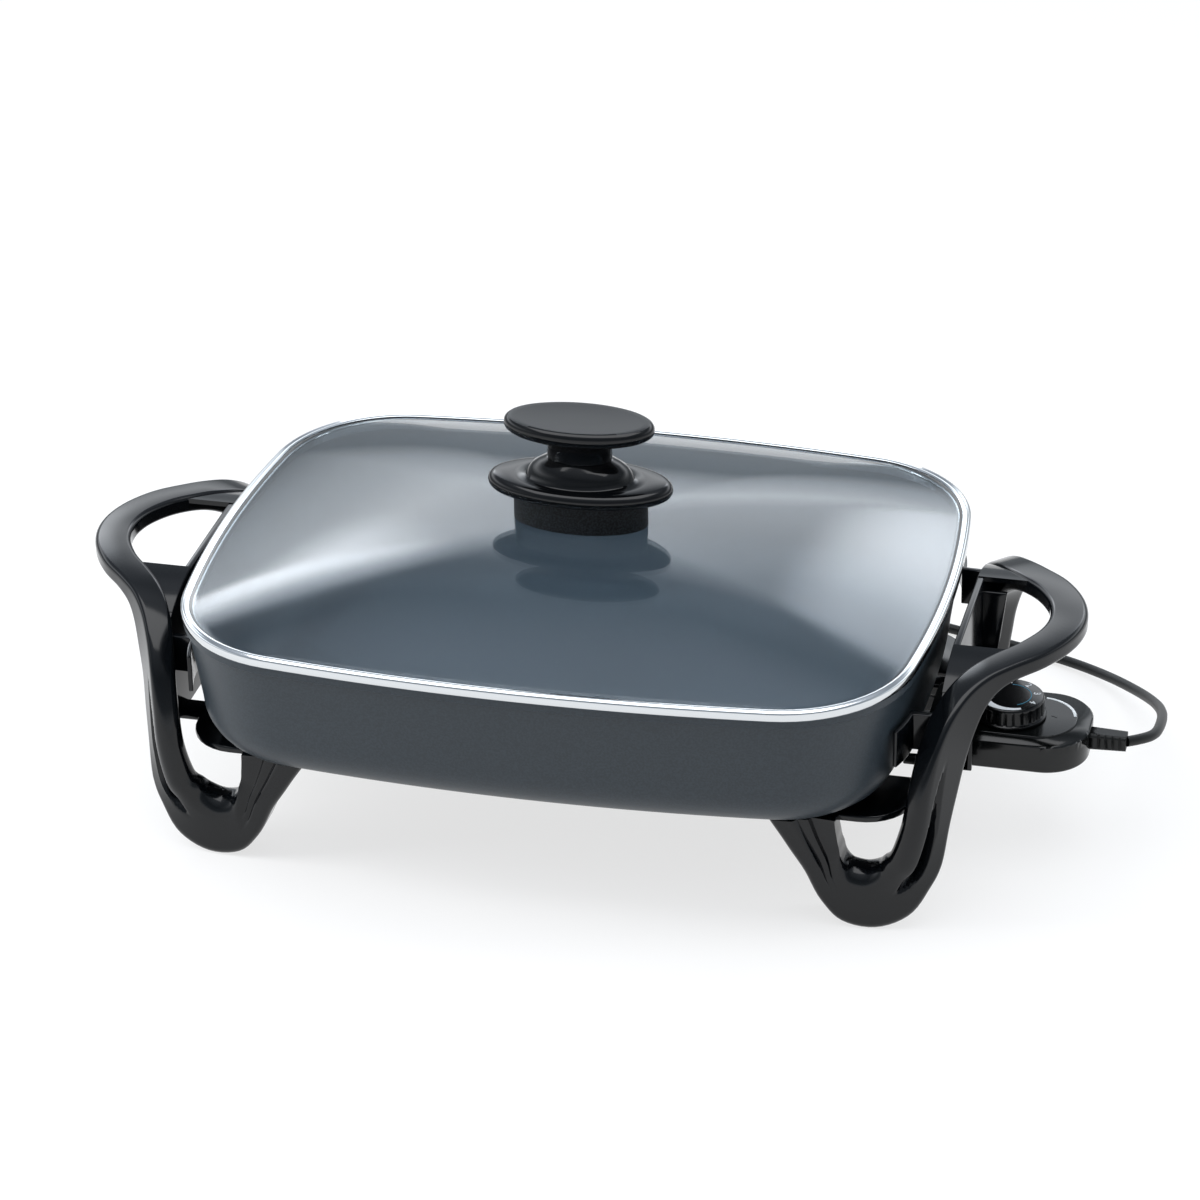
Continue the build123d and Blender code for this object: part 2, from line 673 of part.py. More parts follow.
pin_radius = PIN / 2
sleeve_bore = pin_radius + SLEEVE_GAP
sleeve_radius = sleeve_bore + SLEEVE_WALL
control_floor_z = CONTROL_BASE_Z + CONTROL_WALL
control_ceiling_z = CONTROL_TOP_Z - CONTROL_WALL
deck_z = CONTROL_TOP_Z + DECK_RISE
post_y = CONTROL_WIDTH / 2 - CONTROL_POST_MARGIN
post_places = [(x, side * post_y) for x in CONTROL_POST_X for side in (-1, 1)]
lens_x = CONTROL_END_X - DECK_INSET - DECK_ROUND
lens_y = CONTROL_WIDTH / 2 - DECK_INSET - DECK_ROUND
lens_radius = DECK_ROUND - LENS_WIDTH
lamp_turn = math.radians(LENS_START + LENS_SWEEP / 2)
lamp_place = (lens_x + lens_radius * math.cos(lamp_turn), lens_y + lens_radius * math.sin(lamp_turn))


def control_outline(inset=0.0, end_round=CONTROL_ROUND):
    """Plan of the heat control, moved in by inset: nearly square at the nose, round at the cord's end."""
    with BuildSketch(mode=Mode.PRIVATE) as outline:
        with Locations(((CONTROL_NOSE_X + CONTROL_END_X) / 2, 0)):
            Rectangle(CONTROL_END_X - CONTROL_NOSE_X - 2 * inset, CONTROL_WIDTH - 2 * inset)
        fillet(outline.vertices().group_by(Axis.X)[-1], end_round)
        fillet(outline.vertices().group_by(Axis.X)[0], NOSE_ROUND)
    return outline.sketch


# Openings that both housings share: the slot that holds the strain relief's neck, and the screw holes.
with BuildPart() as relief_slot:
    with BuildSketch(Plane.YZ.offset(CONTROL_END_X + 1)):
        with Locations((0, RELIEF_Z)):
            Rectangle(RELIEF_NECK, RELIEF_NECK)
    extrude(amount=-(CONTROL_WALL + 1))

with BuildPart() as lower_housing:
    with BuildSketch(Plane.XY.offset(CONTROL_BASE_Z)):
        add(control_outline())
    extrude(amount=CONTROL_SPLIT_Z - CONTROL_BASE_Z)
    fillet(lower_housing.faces().sort_by(Axis.Z)[0].edges(), CONTROL_EDGE)
    with BuildSketch(Plane.XY.offset(control_floor_z)):
        add(control_outline(CONTROL_WALL, CONTROL_ROUND - CONTROL_WALL))
    extrude(amount=CONTROL_SPLIT_Z - control_floor_z, mode=Mode.SUBTRACT)
    # Posts for the screws, each counterbored from below.
    with BuildSketch(Plane.XY.offset(control_floor_z)):
        with Locations(*post_places):
            Circle(CONTROL_POST / 2)
    extrude(amount=CONTROL_SPLIT_Z - control_floor_z)
    with BuildSketch(Plane.XY.offset(CONTROL_BASE_Z)):
        with Locations(*post_places):
            Circle(CONTROL_SCREW_HEAD / 2)
    extrude(amount=CONTROL_WALL, mode=Mode.SUBTRACT)
    with BuildSketch(Plane.XY.offset(control_floor_z)):
        with Locations(*post_places):
            Circle(CONTROL_SCREW / 2)
    extrude(amount=CONTROL_SPLIT_Z - control_floor_z, mode=Mode.SUBTRACT)
    # Holes in the nose for the probe and the two contact sleeves.
    with BuildSketch(Plane.YZ.offset(CONTROL_NOSE_X)):
        with Locations((0, element_z)):
            Circle(PROBE / 2)
        with Locations((-PIN_SPACING / 2, element_z), (PIN_SPACING / 2, element_z)):
            Circle(sleeve_radius)
    extrude(amount=CONTROL_WALL, mode=Mode.SUBTRACT)
    add(relief_slot.part, mode=Mode.SUBTRACT)
save(lower_housing.part, "lower_housing")

with BuildPart() as lens_slot:
    with BuildSketch(Plane.XY.offset(control_ceiling_z)):
        with BuildLine():
            CenterArc((lens_x, lens_y), lens_radius, LENS_START, LENS_SWEEP)
            offset(amount=LENS_WIDTH / 2)
        make_face()
    extrude(amount=deck_z - control_ceiling_z)

with BuildPart() as upper_housing:
    with BuildSketch(Plane.XY.offset(CONTROL_SPLIT_Z)):
        add(control_outline())
    extrude(amount=CONTROL_TOP_Z - CONTROL_SPLIT_Z)
    chamfer(upper_housing.faces().sort_by(Axis.Z)[-1].edges(), DECK_RISE)
    # The deck round the dial stands a little proud.
    with BuildSketch(Plane.XY.offset(CONTROL_TOP_Z)):
        add(control_outline(DECK_INSET, DECK_ROUND))
    extrude(amount=DECK_RISE)
    fillet(upper_housing.faces().sort_by(Axis.Z)[-1].edges(), DECK_RISE / 2)
    with BuildSketch(Plane.XY.offset(CONTROL_SPLIT_Z)):
        add(control_outline(CONTROL_WALL, CONTROL_ROUND - CONTROL_WALL))
    extrude(amount=control_ceiling_z - CONTROL_SPLIT_Z, mode=Mode.SUBTRACT)
    with BuildSketch(Plane.XY.offset(CONTROL_SPLIT_Z)):
        with Locations(*post_places):
            Circle(CONTROL_POST / 2)
            Circle(CONTROL_SCREW / 2, mode=Mode.SUBTRACT)
    extrude(amount=control_ceiling_z - CONTROL_SPLIT_Z)
    with BuildSketch(Plane.XY.offset(control_ceiling_z)):
        with Locations((DIAL_X, 0)):
            Circle(SHAFT / 2 + SHAFT_GAP)
    extrude(amount=deck_z - control_ceiling_z, mode=Mode.SUBTRACT)
    add(lens_slot.part, mode=Mode.SUBTRACT)
    add(relief_slot.part, mode=Mode.SUBTRACT)
save(upper_housing.part, "upper_housing")

with BuildPart() as pilot_lens:
    add(lens_slot.part)
save(pilot_lens.part, "pilot_lens")

with BuildPart() as pilot_lamp:
    with BuildSketch(Plane.XY.offset(control_ceiling_z - LAMP_LENGTH)):
        with Locations(lamp_place):
            Circle(LAMP / 2)
    extrude(amount=LAMP_LENGTH)
    fillet(pilot_lamp.edges().group_by(Axis.Z)[0], LAMP / 4)
save(pilot_lamp.part, "pilot_lamp")

with BuildPart() as control_screws:
    with BuildSketch(Plane.XY.offset(CONTROL_BASE_Z)):
        with Locations(*post_places):
            Circle(CONTROL_SCREW_HEAD / 2)
    extrude(amount=CONTROL_WALL)
    with BuildSketch(Plane.XY.offset(control_floor_z)):
        with Locations(*post_places):
            Circle(CONTROL_SCREW / 2)
    extrude(amount=CONTROL_SCREW_LENGTH)
save(control_screws.part, "control_screws")

# ---------------------------------------------------------------- probe, contacts and thermostat

with BuildPart() as probe_tube:
    with BuildSketch(Plane.YZ.offset(PROBE_TIP_X)):
        with Locations((0, element_z)):
            Circle(PROBE / 2)
    extrude(amount=PROBE_END_X - PROBE_TIP_X)
    fillet(probe_tube.edges().group_by(Axis.X)[0], PROBE / 2 - PROBE_WALL)
    with BuildSketch(Plane.YZ.offset(PROBE_END_X)):
        with Locations((0, element_z)):
            Circle(PROBE / 2 - PROBE_WALL)
    extrude(amount=-(PROBE_END_X - PROBE_TIP_X - 2 * PROBE_WALL), mode=Mode.SUBTRACT)
save(probe_tube.part, "probe_tube")

with BuildPart() as probe_rod:
    with BuildSketch(Plane.YZ.offset(PROBE_TIP_X + 2 * PROBE_WALL)):
        with Locations((0, element_z)):
            Circle(ROD / 2)
    extrude(amount=ROD_END_X - PROBE_TIP_X - 2 * PROBE_WALL)
save(probe_rod.part, "probe_rod")

with BuildPart() as contact_sleeves:
    for side in (-1, 1):
        with BuildSketch(Plane.YZ.offset(CONTROL_NOSE_X)):
            with Locations((side * PIN_SPACING / 2, element_z)):
                Circle(sleeve_radius)
                Circle(sleeve_bore, mode=Mode.SUBTRACT)
        extrude(amount=SLEEVE_LENGTH)
        with BuildSketch(Plane.YZ.offset(CONTROL_NOSE_X + SLEEVE_LENGTH)):
            with Locations((side * PIN_SPACING / 2, element_z + sleeve_radius)):
                Rectangle(TAIL_WIDTH, SLEEVE_WALL, align=(Align.CENTER, Align.MAX))
        extrude(amount=TAIL_END_X - CONTROL_NOSE_X - SLEEVE_LENGTH)
save(contact_sleeves.part, "contact_sleeves")

# The plate stands the probe up at one end and carries the stack of blades and spacers at the other.
plate_top_z = control_floor_z + PLATE_THICK
lower_blade_z = plate_top_z + SPACER_BASE
upper_blade_z = lower_blade_z + BLADE_THICK + BLADE_GAP
stack_x = PLATE_END_X - SPACER_LENGTH
contact_height = (BLADE_GAP - CONTACT_GAP) / 2

with BuildPart() as thermostat_plate:
    with BuildSketch(Plane.XZ.offset(-PLATE_HALF)):
        with BuildLine():
            Polyline(
                (PROBE_END_X, control_floor_z),
                (PLATE_END_X, control_floor_z),
                (PLATE_END_X, plate_top_z),
                (PROBE_END_X + PLATE_THICK, plate_top_z),
                (PROBE_END_X + PLATE_THICK, element_z + PROBE / 2),
                (PROBE_END_X, element_z + PROBE / 2),
                (PROBE_END_X, control_floor_z),
            )
        make_face()
    extrude(amount=2 * PLATE_HALF)
    with BuildSketch(Plane.YZ.offset(PROBE_END_X)):
        with Locations((0, element_z)):
            Circle(ROD / 2)
    extrude(amount=PLATE_THICK, mode=Mode.SUBTRACT)
save(thermostat_plate.part, "thermostat_plate")

with BuildPart() as contact_blades:
    for base_z in (lower_blade_z, upper_blade_z):
        with BuildSketch(Plane.XY.offset(base_z)):
            with Locations(((BLADE_TIP_X + PLATE_END_X) / 2, 0)):
                Rectangle(PLATE_END_X - BLADE_TIP_X, 2 * BLADE_HALF)
        extrude(amount=BLADE_THICK)
    # Silver contacts that face each other between the tips.
    for base_z, height in ((lower_blade_z + BLADE_THICK, contact_height), (upper_blade_z, -contact_height)):
        with BuildSketch(Plane.XY.offset(base_z)):
            with Locations((BLADE_TIP_X + BLADE_HALF, 0)):
                Circle(BLADE_HALF / 2)
        extrude(amount=height)
save(contact_blades.part, "contact_blades")

with BuildPart() as blade_spacers:
    for base_z, height in (
        (plate_top_z, SPACER_BASE),
        (lower_blade_z + BLADE_THICK, BLADE_GAP),
        (upper_blade_z + BLADE_THICK, BLADE_GAP),
    ):
        with BuildSketch(Plane.XY.offset(base_z)):
            with Locations(((stack_x + PLATE_END_X) / 2, 0)):
                Rectangle(SPACER_LENGTH, 2 * PLATE_HALF)
        extrude(amount=height)
save(blade_spacers.part, "blade_spacers")

# ---------------------------------------------------------------- dial

dial_base_z = deck_z + DIAL_GAP
dial_top_z = dial_base_z + DIAL_HEIGHT
dial_under_z = dial_top_z - DIAL_WALL
collar_top_z = control_ceiling_z - COLLAR_GAP

with BuildPart() as dial_shaft:
    with BuildSketch(Plane.XY.offset(upper_blade_z + BLADE_THICK + DIAL_GAP)):
        with Locations((DIAL_X, 0)):
            Circle(SHAFT / 2)
    extrude(amount=dial_under_z - upper_blade_z - BLADE_THICK - DIAL_GAP)
    with BuildSketch(Plane.XY.offset(collar_top_z - COLLAR_THICK)):
        with Locations((DIAL_X, 0)):
            Circle(SHAFT_COLLAR / 2)
    extrude(amount=COLLAR_THICK)
save(dial_shaft.part, "dial_shaft")

with BuildPart() as dial:
    with BuildSketch(Plane.XY.offset(dial_base_z)):
        with Locations((DIAL_X, 0)):
            Circle(DIAL_FOOT / 2)
    extrude(amount=DIAL_FOOT_HEIGHT)
    with BuildSketch(Plane.XY.offset(dial_base_z + DIAL_FOOT_HEIGHT)):
        with Locations((DIAL_X, 0)):
            Circle(DIAL / 2)
            with PolarLocations(DIAL / 2 + FLUTE / 2 - FLUTE_DEPTH, DIAL_FLUTES):
                Circle(FLUTE / 2, mode=Mode.SUBTRACT)
    extrude(amount=DIAL_HEIGHT - DIAL_FOOT_HEIGHT - FLUTE_DEPTH)
    with BuildSketch(Plane.XY.offset(dial_top_z - FLUTE_DEPTH)):
        with Locations((DIAL_X, 0)):
            Circle(DIAL / 2)
    extrude(amount=FLUTE_DEPTH)
    # Hollow underside with a hub on the shaft.
    with BuildSketch(Plane.XY.offset(dial_base_z)):
        with Locations((DIAL_X, 0)):
            Circle(DIAL / 2 - DIAL_WALL)
            Circle(DIAL_HUB / 2, mode=Mode.SUBTRACT)
    extrude(amount=dial_under_z - dial_base_z, mode=Mode.SUBTRACT)
    with BuildSketch(Plane.XY.offset(dial_base_z)):
        with Locations((DIAL_X, 0)):
            Circle(SHAFT / 2)
    extrude(amount=dial_under_z - dial_base_z, mode=Mode.SUBTRACT)
save(dial.part, "dial")

# ---------------------------------------------------------------- strain relief, cord and plug

relief_end_x = CONTROL_END_X + RELIEF_LENGTH

with BuildPart() as strain_relief:
    with BuildSketch(Plane.YZ.offset(CONTROL_END_X)):
        with Locations((0, RELIEF_Z)):
            Rectangle(RELIEF_WIDTH, RELIEF_HEIGHT)
    with BuildSketch(Plane.YZ.offset(relief_end_x)):
        with Locations((0, RELIEF_Z)):
            Rectangle(RELIEF_WIDTH - 1, RELIEF_HEIGHT - 1)
    loft()
    fillet(strain_relief.edges().filter_by(lambda e: e.length > RELIEF_LENGTH - 1), 2)
    # Grooves across it let it bend.
    for number in range(RELIEF_GROOVES):
        groove_x = CONTROL_END_X + RELIEF_LENGTH * (number + 1) / (RELIEF_GROOVES + 1)
        with BuildSketch(Plane.YZ.offset(groove_x)):
            with Locations((-RELIEF_WIDTH / 2, RELIEF_Z), (RELIEF_WIDTH / 2, RELIEF_Z)):
                Rectangle(RELIEF_WIDTH - CORD - 2, RELIEF_HEIGHT)
        extrude(amount=1, mode=Mode.SUBTRACT)
    with BuildSketch(Plane.YZ.offset(CONTROL_END_X)):
        with Locations((0, RELIEF_Z)):
            Rectangle(RELIEF_NECK, RELIEF_NECK)
    extrude(amount=-CONTROL_WALL)
    with BuildSketch(Plane.YZ.offset(CONTROL_END_X - CONTROL_WALL)):
        with Locations((0, RELIEF_Z)):
            Rectangle(RELIEF_WIDTH, RELIEF_NECK + 2)
    extrude(amount=-RELIEF_FLANGE)
save(strain_relief.part, "strain_relief")

cord_z = FLOOR_GAP + CORD / 2
coil_base_z = FLOOR_GAP + TIE_THICK
coil_height = COIL_LAYERS * CORD
tail_z = coil_base_z + coil_height - CORD / 2

# The cord leaves the control, turns back beside the handle and drops to the surface behind the pan.
CORD_ROUTE = (
    (relief_end_x, 0, RELIEF_Z),
    (332, 0, RELIEF_Z),
    (344.5, 16.5, 62.5),
    (340, 40, 53.5),
    (329, 72, 40.5),
    (318.5, 107, 28),
    (303.5, 140.5, 16.5),
    (281.5, 171.5, 8),
    (252, 194, 4.2),
    (217, 209, cord_z),
    (181, 220, cord_z),
    (145, 230, cord_z),
    (110, 240, cord_z),
    (COIL_X + 10, COIL_Y - COIL / 2 + 0.5, cord_z),
)
# From the coil's top layer the cord comes down to its plug.
TAIL_ROUTE = (
    (COIL_X - 12, COIL_Y - COIL / 2 + 2, tail_z),
    (COIL_X - 26, COIL_Y - COIL / 2, tail_z - 0.3),
    (COIL_X - 42, COIL_Y - COIL / 2, PLUG_Z),
    (PLUG_X, COIL_Y - COIL / 2, PLUG_Z),
)


def corner_radii(route):
    """Largest arcs that a route's runs allow at its corners."""
    points = [Vector(*point) for point in route]
    radii = []
    for before, corner, after in zip(points, points[1:], points[2:]):
        turn = math.radians((corner - before).get_angle(after - corner))
        shorter = min((corner - before).length, (after - corner).length)
        radii.append(0.45 * shorter / math.tan(turn / 2))
    return radii


for route, name in ((CORD_ROUTE, "cord"), (TAIL_ROUTE, "cord_tail")):
    radii = corner_radii(route)
    with BuildPart() as cord:
        with BuildLine() as cord_path:
            FilletPolyline(*route, radius=radii)
        with BuildSketch(Plane(origin=cord_path.wire() @ 0, z_dir=cord_path.wire() % 0)):
            Circle(CORD / 2)
        sweep(path=cord_path.wire())
    save(cord.part, name)
    length = cord_path.wire().length
    expected = length * math.pi * CORD**2 / 4
    print(name, "length", round(length, 1), "volume over section times length", round(cord.part.volume / expected, 4))
    print(name, "radii in diameters", [round(radius / CORD, 1) for radius in radii])

coil_axis = Axis((COIL_X, COIL_Y, 0), (0, 0, 1))
coil_middle_z = coil_base_z + coil_height / 2

with BuildPart() as cord_coil:
    with BuildSketch(Plane.XZ.offset(-COIL_Y)):
        with Locations((COIL_X + COIL / 2, coil_middle_z)):
            RectangleRounded(CORD, coil_height, CORD / 3)
    revolve(axis=coil_axis)
save(cord_coil.part, "cord_coil")

with BuildPart() as cord_tie:
    with BuildSketch(Plane.XZ.offset(-COIL_Y)):
        with Locations((COIL_X + COIL / 2, coil_middle_z)):
            RectangleRounded(CORD + 2 * TIE_THICK, coil_height + 2 * TIE_THICK, CORD / 3 + TIE_THICK)
            RectangleRounded(CORD, coil_height, CORD / 3, mode=Mode.SUBTRACT)
    revolve(axis=coil_axis, revolution_arc=TIE_TURN)
save(cord_tie.part, "cord_tie")

plug_y = COIL_Y - COIL / 2

with BuildPart() as plug_body:
    with BuildSketch(Plane.YZ.offset(PLUG_X)):
        with Locations((plug_y, PLUG_Z)):
            RectangleRounded(PLUG_NECK, PLUG_NECK, PLUG_NECK / 3)
    with BuildSketch(Plane.YZ.offset(PLUG_X - PLUG_LENGTH / 2)):
        with Locations((plug_y, PLUG_Z)):
            RectangleRounded(PLUG_WIDTH, PLUG_HEIGHT, PLUG_NECK / 3)
    loft()
    with BuildSketch(Plane.YZ.offset(PLUG_X - PLUG_LENGTH)):
        with Locations((plug_y, PLUG_Z)):
            RectangleRounded(PLUG_WIDTH, PLUG_HEIGHT, PLUG_NECK / 3)
    extrude(amount=PLUG_LENGTH / 2)
save(plug_body.part, "plug_body")

with BuildPart() as plug_blades:
    with BuildSketch(Plane.YZ.offset(PLUG_X - PLUG_LENGTH)):
        with Locations((plug_y - PRONG_SPACING / 2, PLUG_Z), (plug_y + PRONG_SPACING / 2, PLUG_Z)):
            Rectangle(PRONG_THICK, PRONG_HEIGHT)
    extrude(amount=-PRONG_LENGTH)
    chamfer(plug_blades.faces().sort_by(Axis.X)[:2].edges().filter_by(Axis.Y), PRONG_THICK)
save(plug_blades.part, "plug_blades")
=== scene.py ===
# %% [markdown]
# # An electric skillet, dressed around its solid model
#
# A solid model already gives every size, place and motion of this skillet. This lesson keeps it as a fixed
# frame and adds what the eye looks for: the curved forms that a caster, a moulder or a glass maker gives the
# real pieces, and the finish of each surface. Sizes are written in millimetres, and one factor turns them
# into Blender's metres.

# %% Load the solid model as the frame
import json
import math

import bmesh
import bpy
from mathutils import Matrix, Vector


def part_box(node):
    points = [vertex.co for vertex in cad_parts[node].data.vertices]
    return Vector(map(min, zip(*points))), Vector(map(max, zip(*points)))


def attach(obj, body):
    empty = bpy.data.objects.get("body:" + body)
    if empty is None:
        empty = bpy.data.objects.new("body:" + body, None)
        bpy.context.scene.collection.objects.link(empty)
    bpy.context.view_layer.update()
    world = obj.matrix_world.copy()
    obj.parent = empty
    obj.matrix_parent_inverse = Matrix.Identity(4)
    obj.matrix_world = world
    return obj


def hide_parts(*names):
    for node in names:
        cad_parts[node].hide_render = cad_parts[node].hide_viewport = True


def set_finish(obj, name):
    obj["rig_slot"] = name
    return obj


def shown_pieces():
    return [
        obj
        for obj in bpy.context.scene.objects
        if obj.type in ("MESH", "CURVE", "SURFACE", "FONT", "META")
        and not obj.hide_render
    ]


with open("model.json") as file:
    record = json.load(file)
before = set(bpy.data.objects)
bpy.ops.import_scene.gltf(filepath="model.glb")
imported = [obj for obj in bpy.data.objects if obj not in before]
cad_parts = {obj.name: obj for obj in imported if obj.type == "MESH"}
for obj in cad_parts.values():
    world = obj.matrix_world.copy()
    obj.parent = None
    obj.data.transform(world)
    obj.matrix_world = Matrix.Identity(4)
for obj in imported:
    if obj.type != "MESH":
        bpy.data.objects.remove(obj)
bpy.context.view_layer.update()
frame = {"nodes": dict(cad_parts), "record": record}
MM = 0.001

# %% [markdown]
# ## Camera
#
# A long lens from well back keeps the sides of the pan nearly parallel, as catalogue pictures do. A camera
# could be aimed with a Track To constraint. Here its three axes are worked out from an azimuth, an elevation
# and a slight roll, because then each of the three can be changed by itself.

# %% Camera
CAMERA_AZIMUTH = 14.28
CAMERA_ELEVATION = 28.45
CAMERA_ROLL = -1.14
CAMERA_PLACE = (564.2, -2177.4, 1339.9)
LENS = 135.6
SENSOR_WIDTH = 36
FARTHEST_SEEN = 20

azimuth, elevation, roll = (math.radians(turn) for turn in (CAMERA_AZIMUTH, CAMERA_ELEVATION, CAMERA_ROLL))
forward = Vector((-math.sin(azimuth) * math.cos(elevation), math.cos(azimuth) * math.cos(elevation),
                  -math.sin(elevation)))
level = Vector((math.cos(azimuth), math.sin(azimuth), 0))
upright = level.cross(forward)
camera_right = math.cos(roll) * level + math.sin(roll) * upright
camera_up = camera_right.cross(forward)

bpy.ops.object.camera_add(location=Vector(CAMERA_PLACE) * MM)
camera = bpy.context.object
camera.rotation_euler = Matrix((camera_right, camera_up, -forward)).transposed().to_euler()
camera.data.lens = LENS
camera.data.sensor_width = SENSOR_WIDTH
camera.data.clip_end = FARTHEST_SEEN
bpy.context.scene.camera = camera
print("camera looks along", [round(part, 3) for part in forward])

# %% [markdown]
# ## Rings and skins
#
# A bowed rim, an oval knob and a bent leg are the same kind of form: an outline that changes along the piece.
# Such a form could be sculpted, or drawn as crossing curves. Here a circle of points is added for each level,
# neighbouring circles are bridged, and then every point is moved to its place. So one tool serves all of
# these pieces, and only the rings differ. The circles are stacked at even heights while they are bridged,
# because two rings that lie level would be joined across the middle.

# %% Start a piece and lay its circles


def start_piece(name):
    """An empty mesh object at the origin, in edit mode."""
    bpy.ops.object.select_all(action="DESELECT")
    piece = bpy.data.objects.new(name, bpy.data.meshes.new(name))
    bpy.context.collection.objects.link(piece)
    bpy.context.view_layer.objects.active = piece
    piece.select_set(True)
    bpy.ops.object.mode_set(mode="EDIT")
    return piece


def add_circle(count, height=0.0, filled=False):
    """Adds a circle of points, which are moved to their places later."""
    bpy.ops.mesh.primitive_circle_add(vertices=count, location=(0, 0, height))
    if filled:
        bpy.ops.mesh.edge_face_add()


def move_points(piece, points):
    """Moves every point of the piece, in order, to its place in millimetres."""
    shape = bmesh.from_edit_mesh(piece.data)
    for vertex, point in zip(shape.verts, points):
        vertex.co = Vector(point) * MM
    bmesh.update_edit_mesh(piece.data)


print("one millimetre is", MM, "m")

# %% [markdown]
# A moulded edge is never sharp, and a mesh that is bridged by hand may have faces that look inwards. A Bevel
# modifier could stay live on each piece. Here it is applied at once, so that what is counted is what is seen.

# %% Close a piece off
BEVEL_SEGMENTS = 3


def finish_mesh(piece, smooth=40.0, bevel=0.0):
    """Turns the faces outwards, bevels edges sharper than smooth degrees, and shades the rest smooth."""
    bpy.ops.mesh.select_all(action="SELECT")
    bpy.ops.mesh.normals_make_consistent(inside=False)
    bpy.ops.object.mode_set(mode="OBJECT")
    if bevel:
        edges = piece.modifiers.new("edges", "BEVEL")
        edges.width = bevel * MM
        edges.segments = BEVEL_SEGMENTS
        edges.limit_method = "ANGLE"
        edges.angle_limit = math.radians(smooth)
        bpy.ops.object.modifier_apply(modifier="edges")
    bpy.ops.object.shade_smooth_by_angle(angle=math.radians(smooth))
    print(piece.name, "faces", len(piece.data.polygons))
    return piece


# %% [markdown]
# The skin itself could be made face by face in code. Blender's own bridge operator does it between any two
# rings that are selected, so each pair of neighbours is selected and bridged in turn.

# %% Skin over rings


def skin(name, rings, closed=False, smooth=40.0):
    """A skin over rings of points: capped at both ends, or closed from the last ring to the first."""
    piece = start_piece(name)
    size = len(rings[0])
    for number in range(len(rings)):
        capped = not closed and number in (0, len(rings) - 1)
        add_circle(size, height=number, filled=capped)
    pairs = list(zip(range(len(rings) - 1), range(1, len(rings))))
    if closed:
        pairs.append((len(rings) - 1, 0))
    bpy.ops.mesh.select_mode(type="EDGE")
    for pair in pairs:
        bpy.ops.mesh.select_all(action="DESELECT")
        shape = bmesh.from_edit_mesh(piece.data)
        for edge in shape.edges:
            ends = {vertex.index // size for vertex in edge.verts}
            edge.select = len(ends) == 1 and ends <= set(pair)
        bmesh.update_edit_mesh(piece.data)
        bpy.ops.mesh.bridge_edge_loops()
    bpy.ops.mesh.select_mode(type="VERT")
    move_points(piece, [point for ring in rings for point in ring])
    return finish_mesh(piece, smooth)


# %% [markdown]
# ## The outline that pan and lid share
#
# Seen from above, the skillet has two long and two short sides, each bowed outwards a little, with round
# corners between them. It could be traced with a Bézier curve, but an offset of such a curve is never quite
# right. So each point is found from the direction that the edge faces there. An inset then only moves the
# point along that direction, and the points of all rings stay in step.

# %% Centres of the arcs
LID_LENGTH = 424.0
LID_WIDTH = 326.0
LONG_BOW = 1254.0
SHORT_BOW = 721.0
CORNER = 75.6

long_centre = Vector((0, LID_WIDTH / 2 - LONG_BOW))
short_centre = Vector((LID_LENGTH / 2 - SHORT_BOW, 0))
# The corner's arc touches both bows, so its centre lies where two smaller circles cross.
between = short_centre - long_centre
gap = between.length
near = (gap**2 + (LONG_BOW - CORNER) ** 2 - (SHORT_BOW - CORNER) ** 2) / (2 * gap)
aside = math.sqrt((LONG_BOW - CORNER) ** 2 - near**2)
across = Vector((-between.y, between.x)) / gap
corner_centre = long_centre + between / gap * near - across * aside
short_turn = math.atan2(*(corner_centre - short_centre).yx)
long_turn = math.atan2(*(corner_centre - long_centre).yx)
print("corner centre", [round(part, 1) for part in corner_centre])

# %% [markdown]
# One quarter is enough, because the outline is the same on all sides: two bows and a corner, each divided
# evenly. A Mirror modifier could add the rest. Mirroring the points keeps a ring in one piece, in order.

# %% Rings of the outline
SIDE_STEPS = 10
CORNER_STEPS = 14


def spread(start, end, count):
    """Count values from start up to, not including, end."""
    return [start + (end - start) * step / count for step in range(count)]


quarter = [(turn, short_centre, SHORT_BOW) for turn in spread(0, short_turn, SIDE_STEPS)]
quarter += [(turn, corner_centre, CORNER) for turn in spread(short_turn, long_turn, CORNER_STEPS)]
quarter += [(turn, long_centre, LONG_BOW) for turn in spread(long_turn, math.pi / 2, SIDE_STEPS)]
quarter.append((math.pi / 2, long_centre, LONG_BOW))


def rim(z, inset=0.0, scale=1.0):
    """A ring of the outline at height z, moved in by inset and then scaled about the middle."""
    first = [
        (centre.x + (radius - inset) * math.cos(turn), centre.y + (radius - inset) * math.sin(turn))
        for turn, centre, radius in quarter
    ]
    half = first + [(-x, y) for x, y in first[-2::-1]]
    whole = half + [(x, -y) for x, y in half[-2:0:-1]]
    return [(x * scale, y * scale, z) for x, y in whole]


print("points in a ring", len(rim(0)))

# %% [markdown]
# ## Pan
#
# The pan is a pressure casting in aluminium. Its walls lean in towards the base so that it leaves the mould,
# a large radius leads into the base, and a low bead runs round the rim. It could be a box with inset and
# bevelled faces, but the bowed outline would be lost at the corners. So it is a skin: rings go down the
# outside, round the radius, and the same again inside, one wall further in.

# %% Levels of the pan's wall
RIM_Z = 146.0
BASE_Z = 68.0
PAN_INSET = 1.0
BEAD = 1.4
BEAD_HEIGHT = 5.0
BEAD_ROUND = 0.5
LIP_ROUND = 0.6
UNDER_BEAD = 0.2
WALL = 3.6
FLOOR = 4.4
DRAFT = 11.0
BASE_ROUND = 28.0
ROUND_STEPS = 8


def wall_inset(z):
    """Inset of the pan's outer wall at height z."""
    return PAN_INSET + BEAD + DRAFT * (RIM_Z - z) / (RIM_Z - BASE_Z)


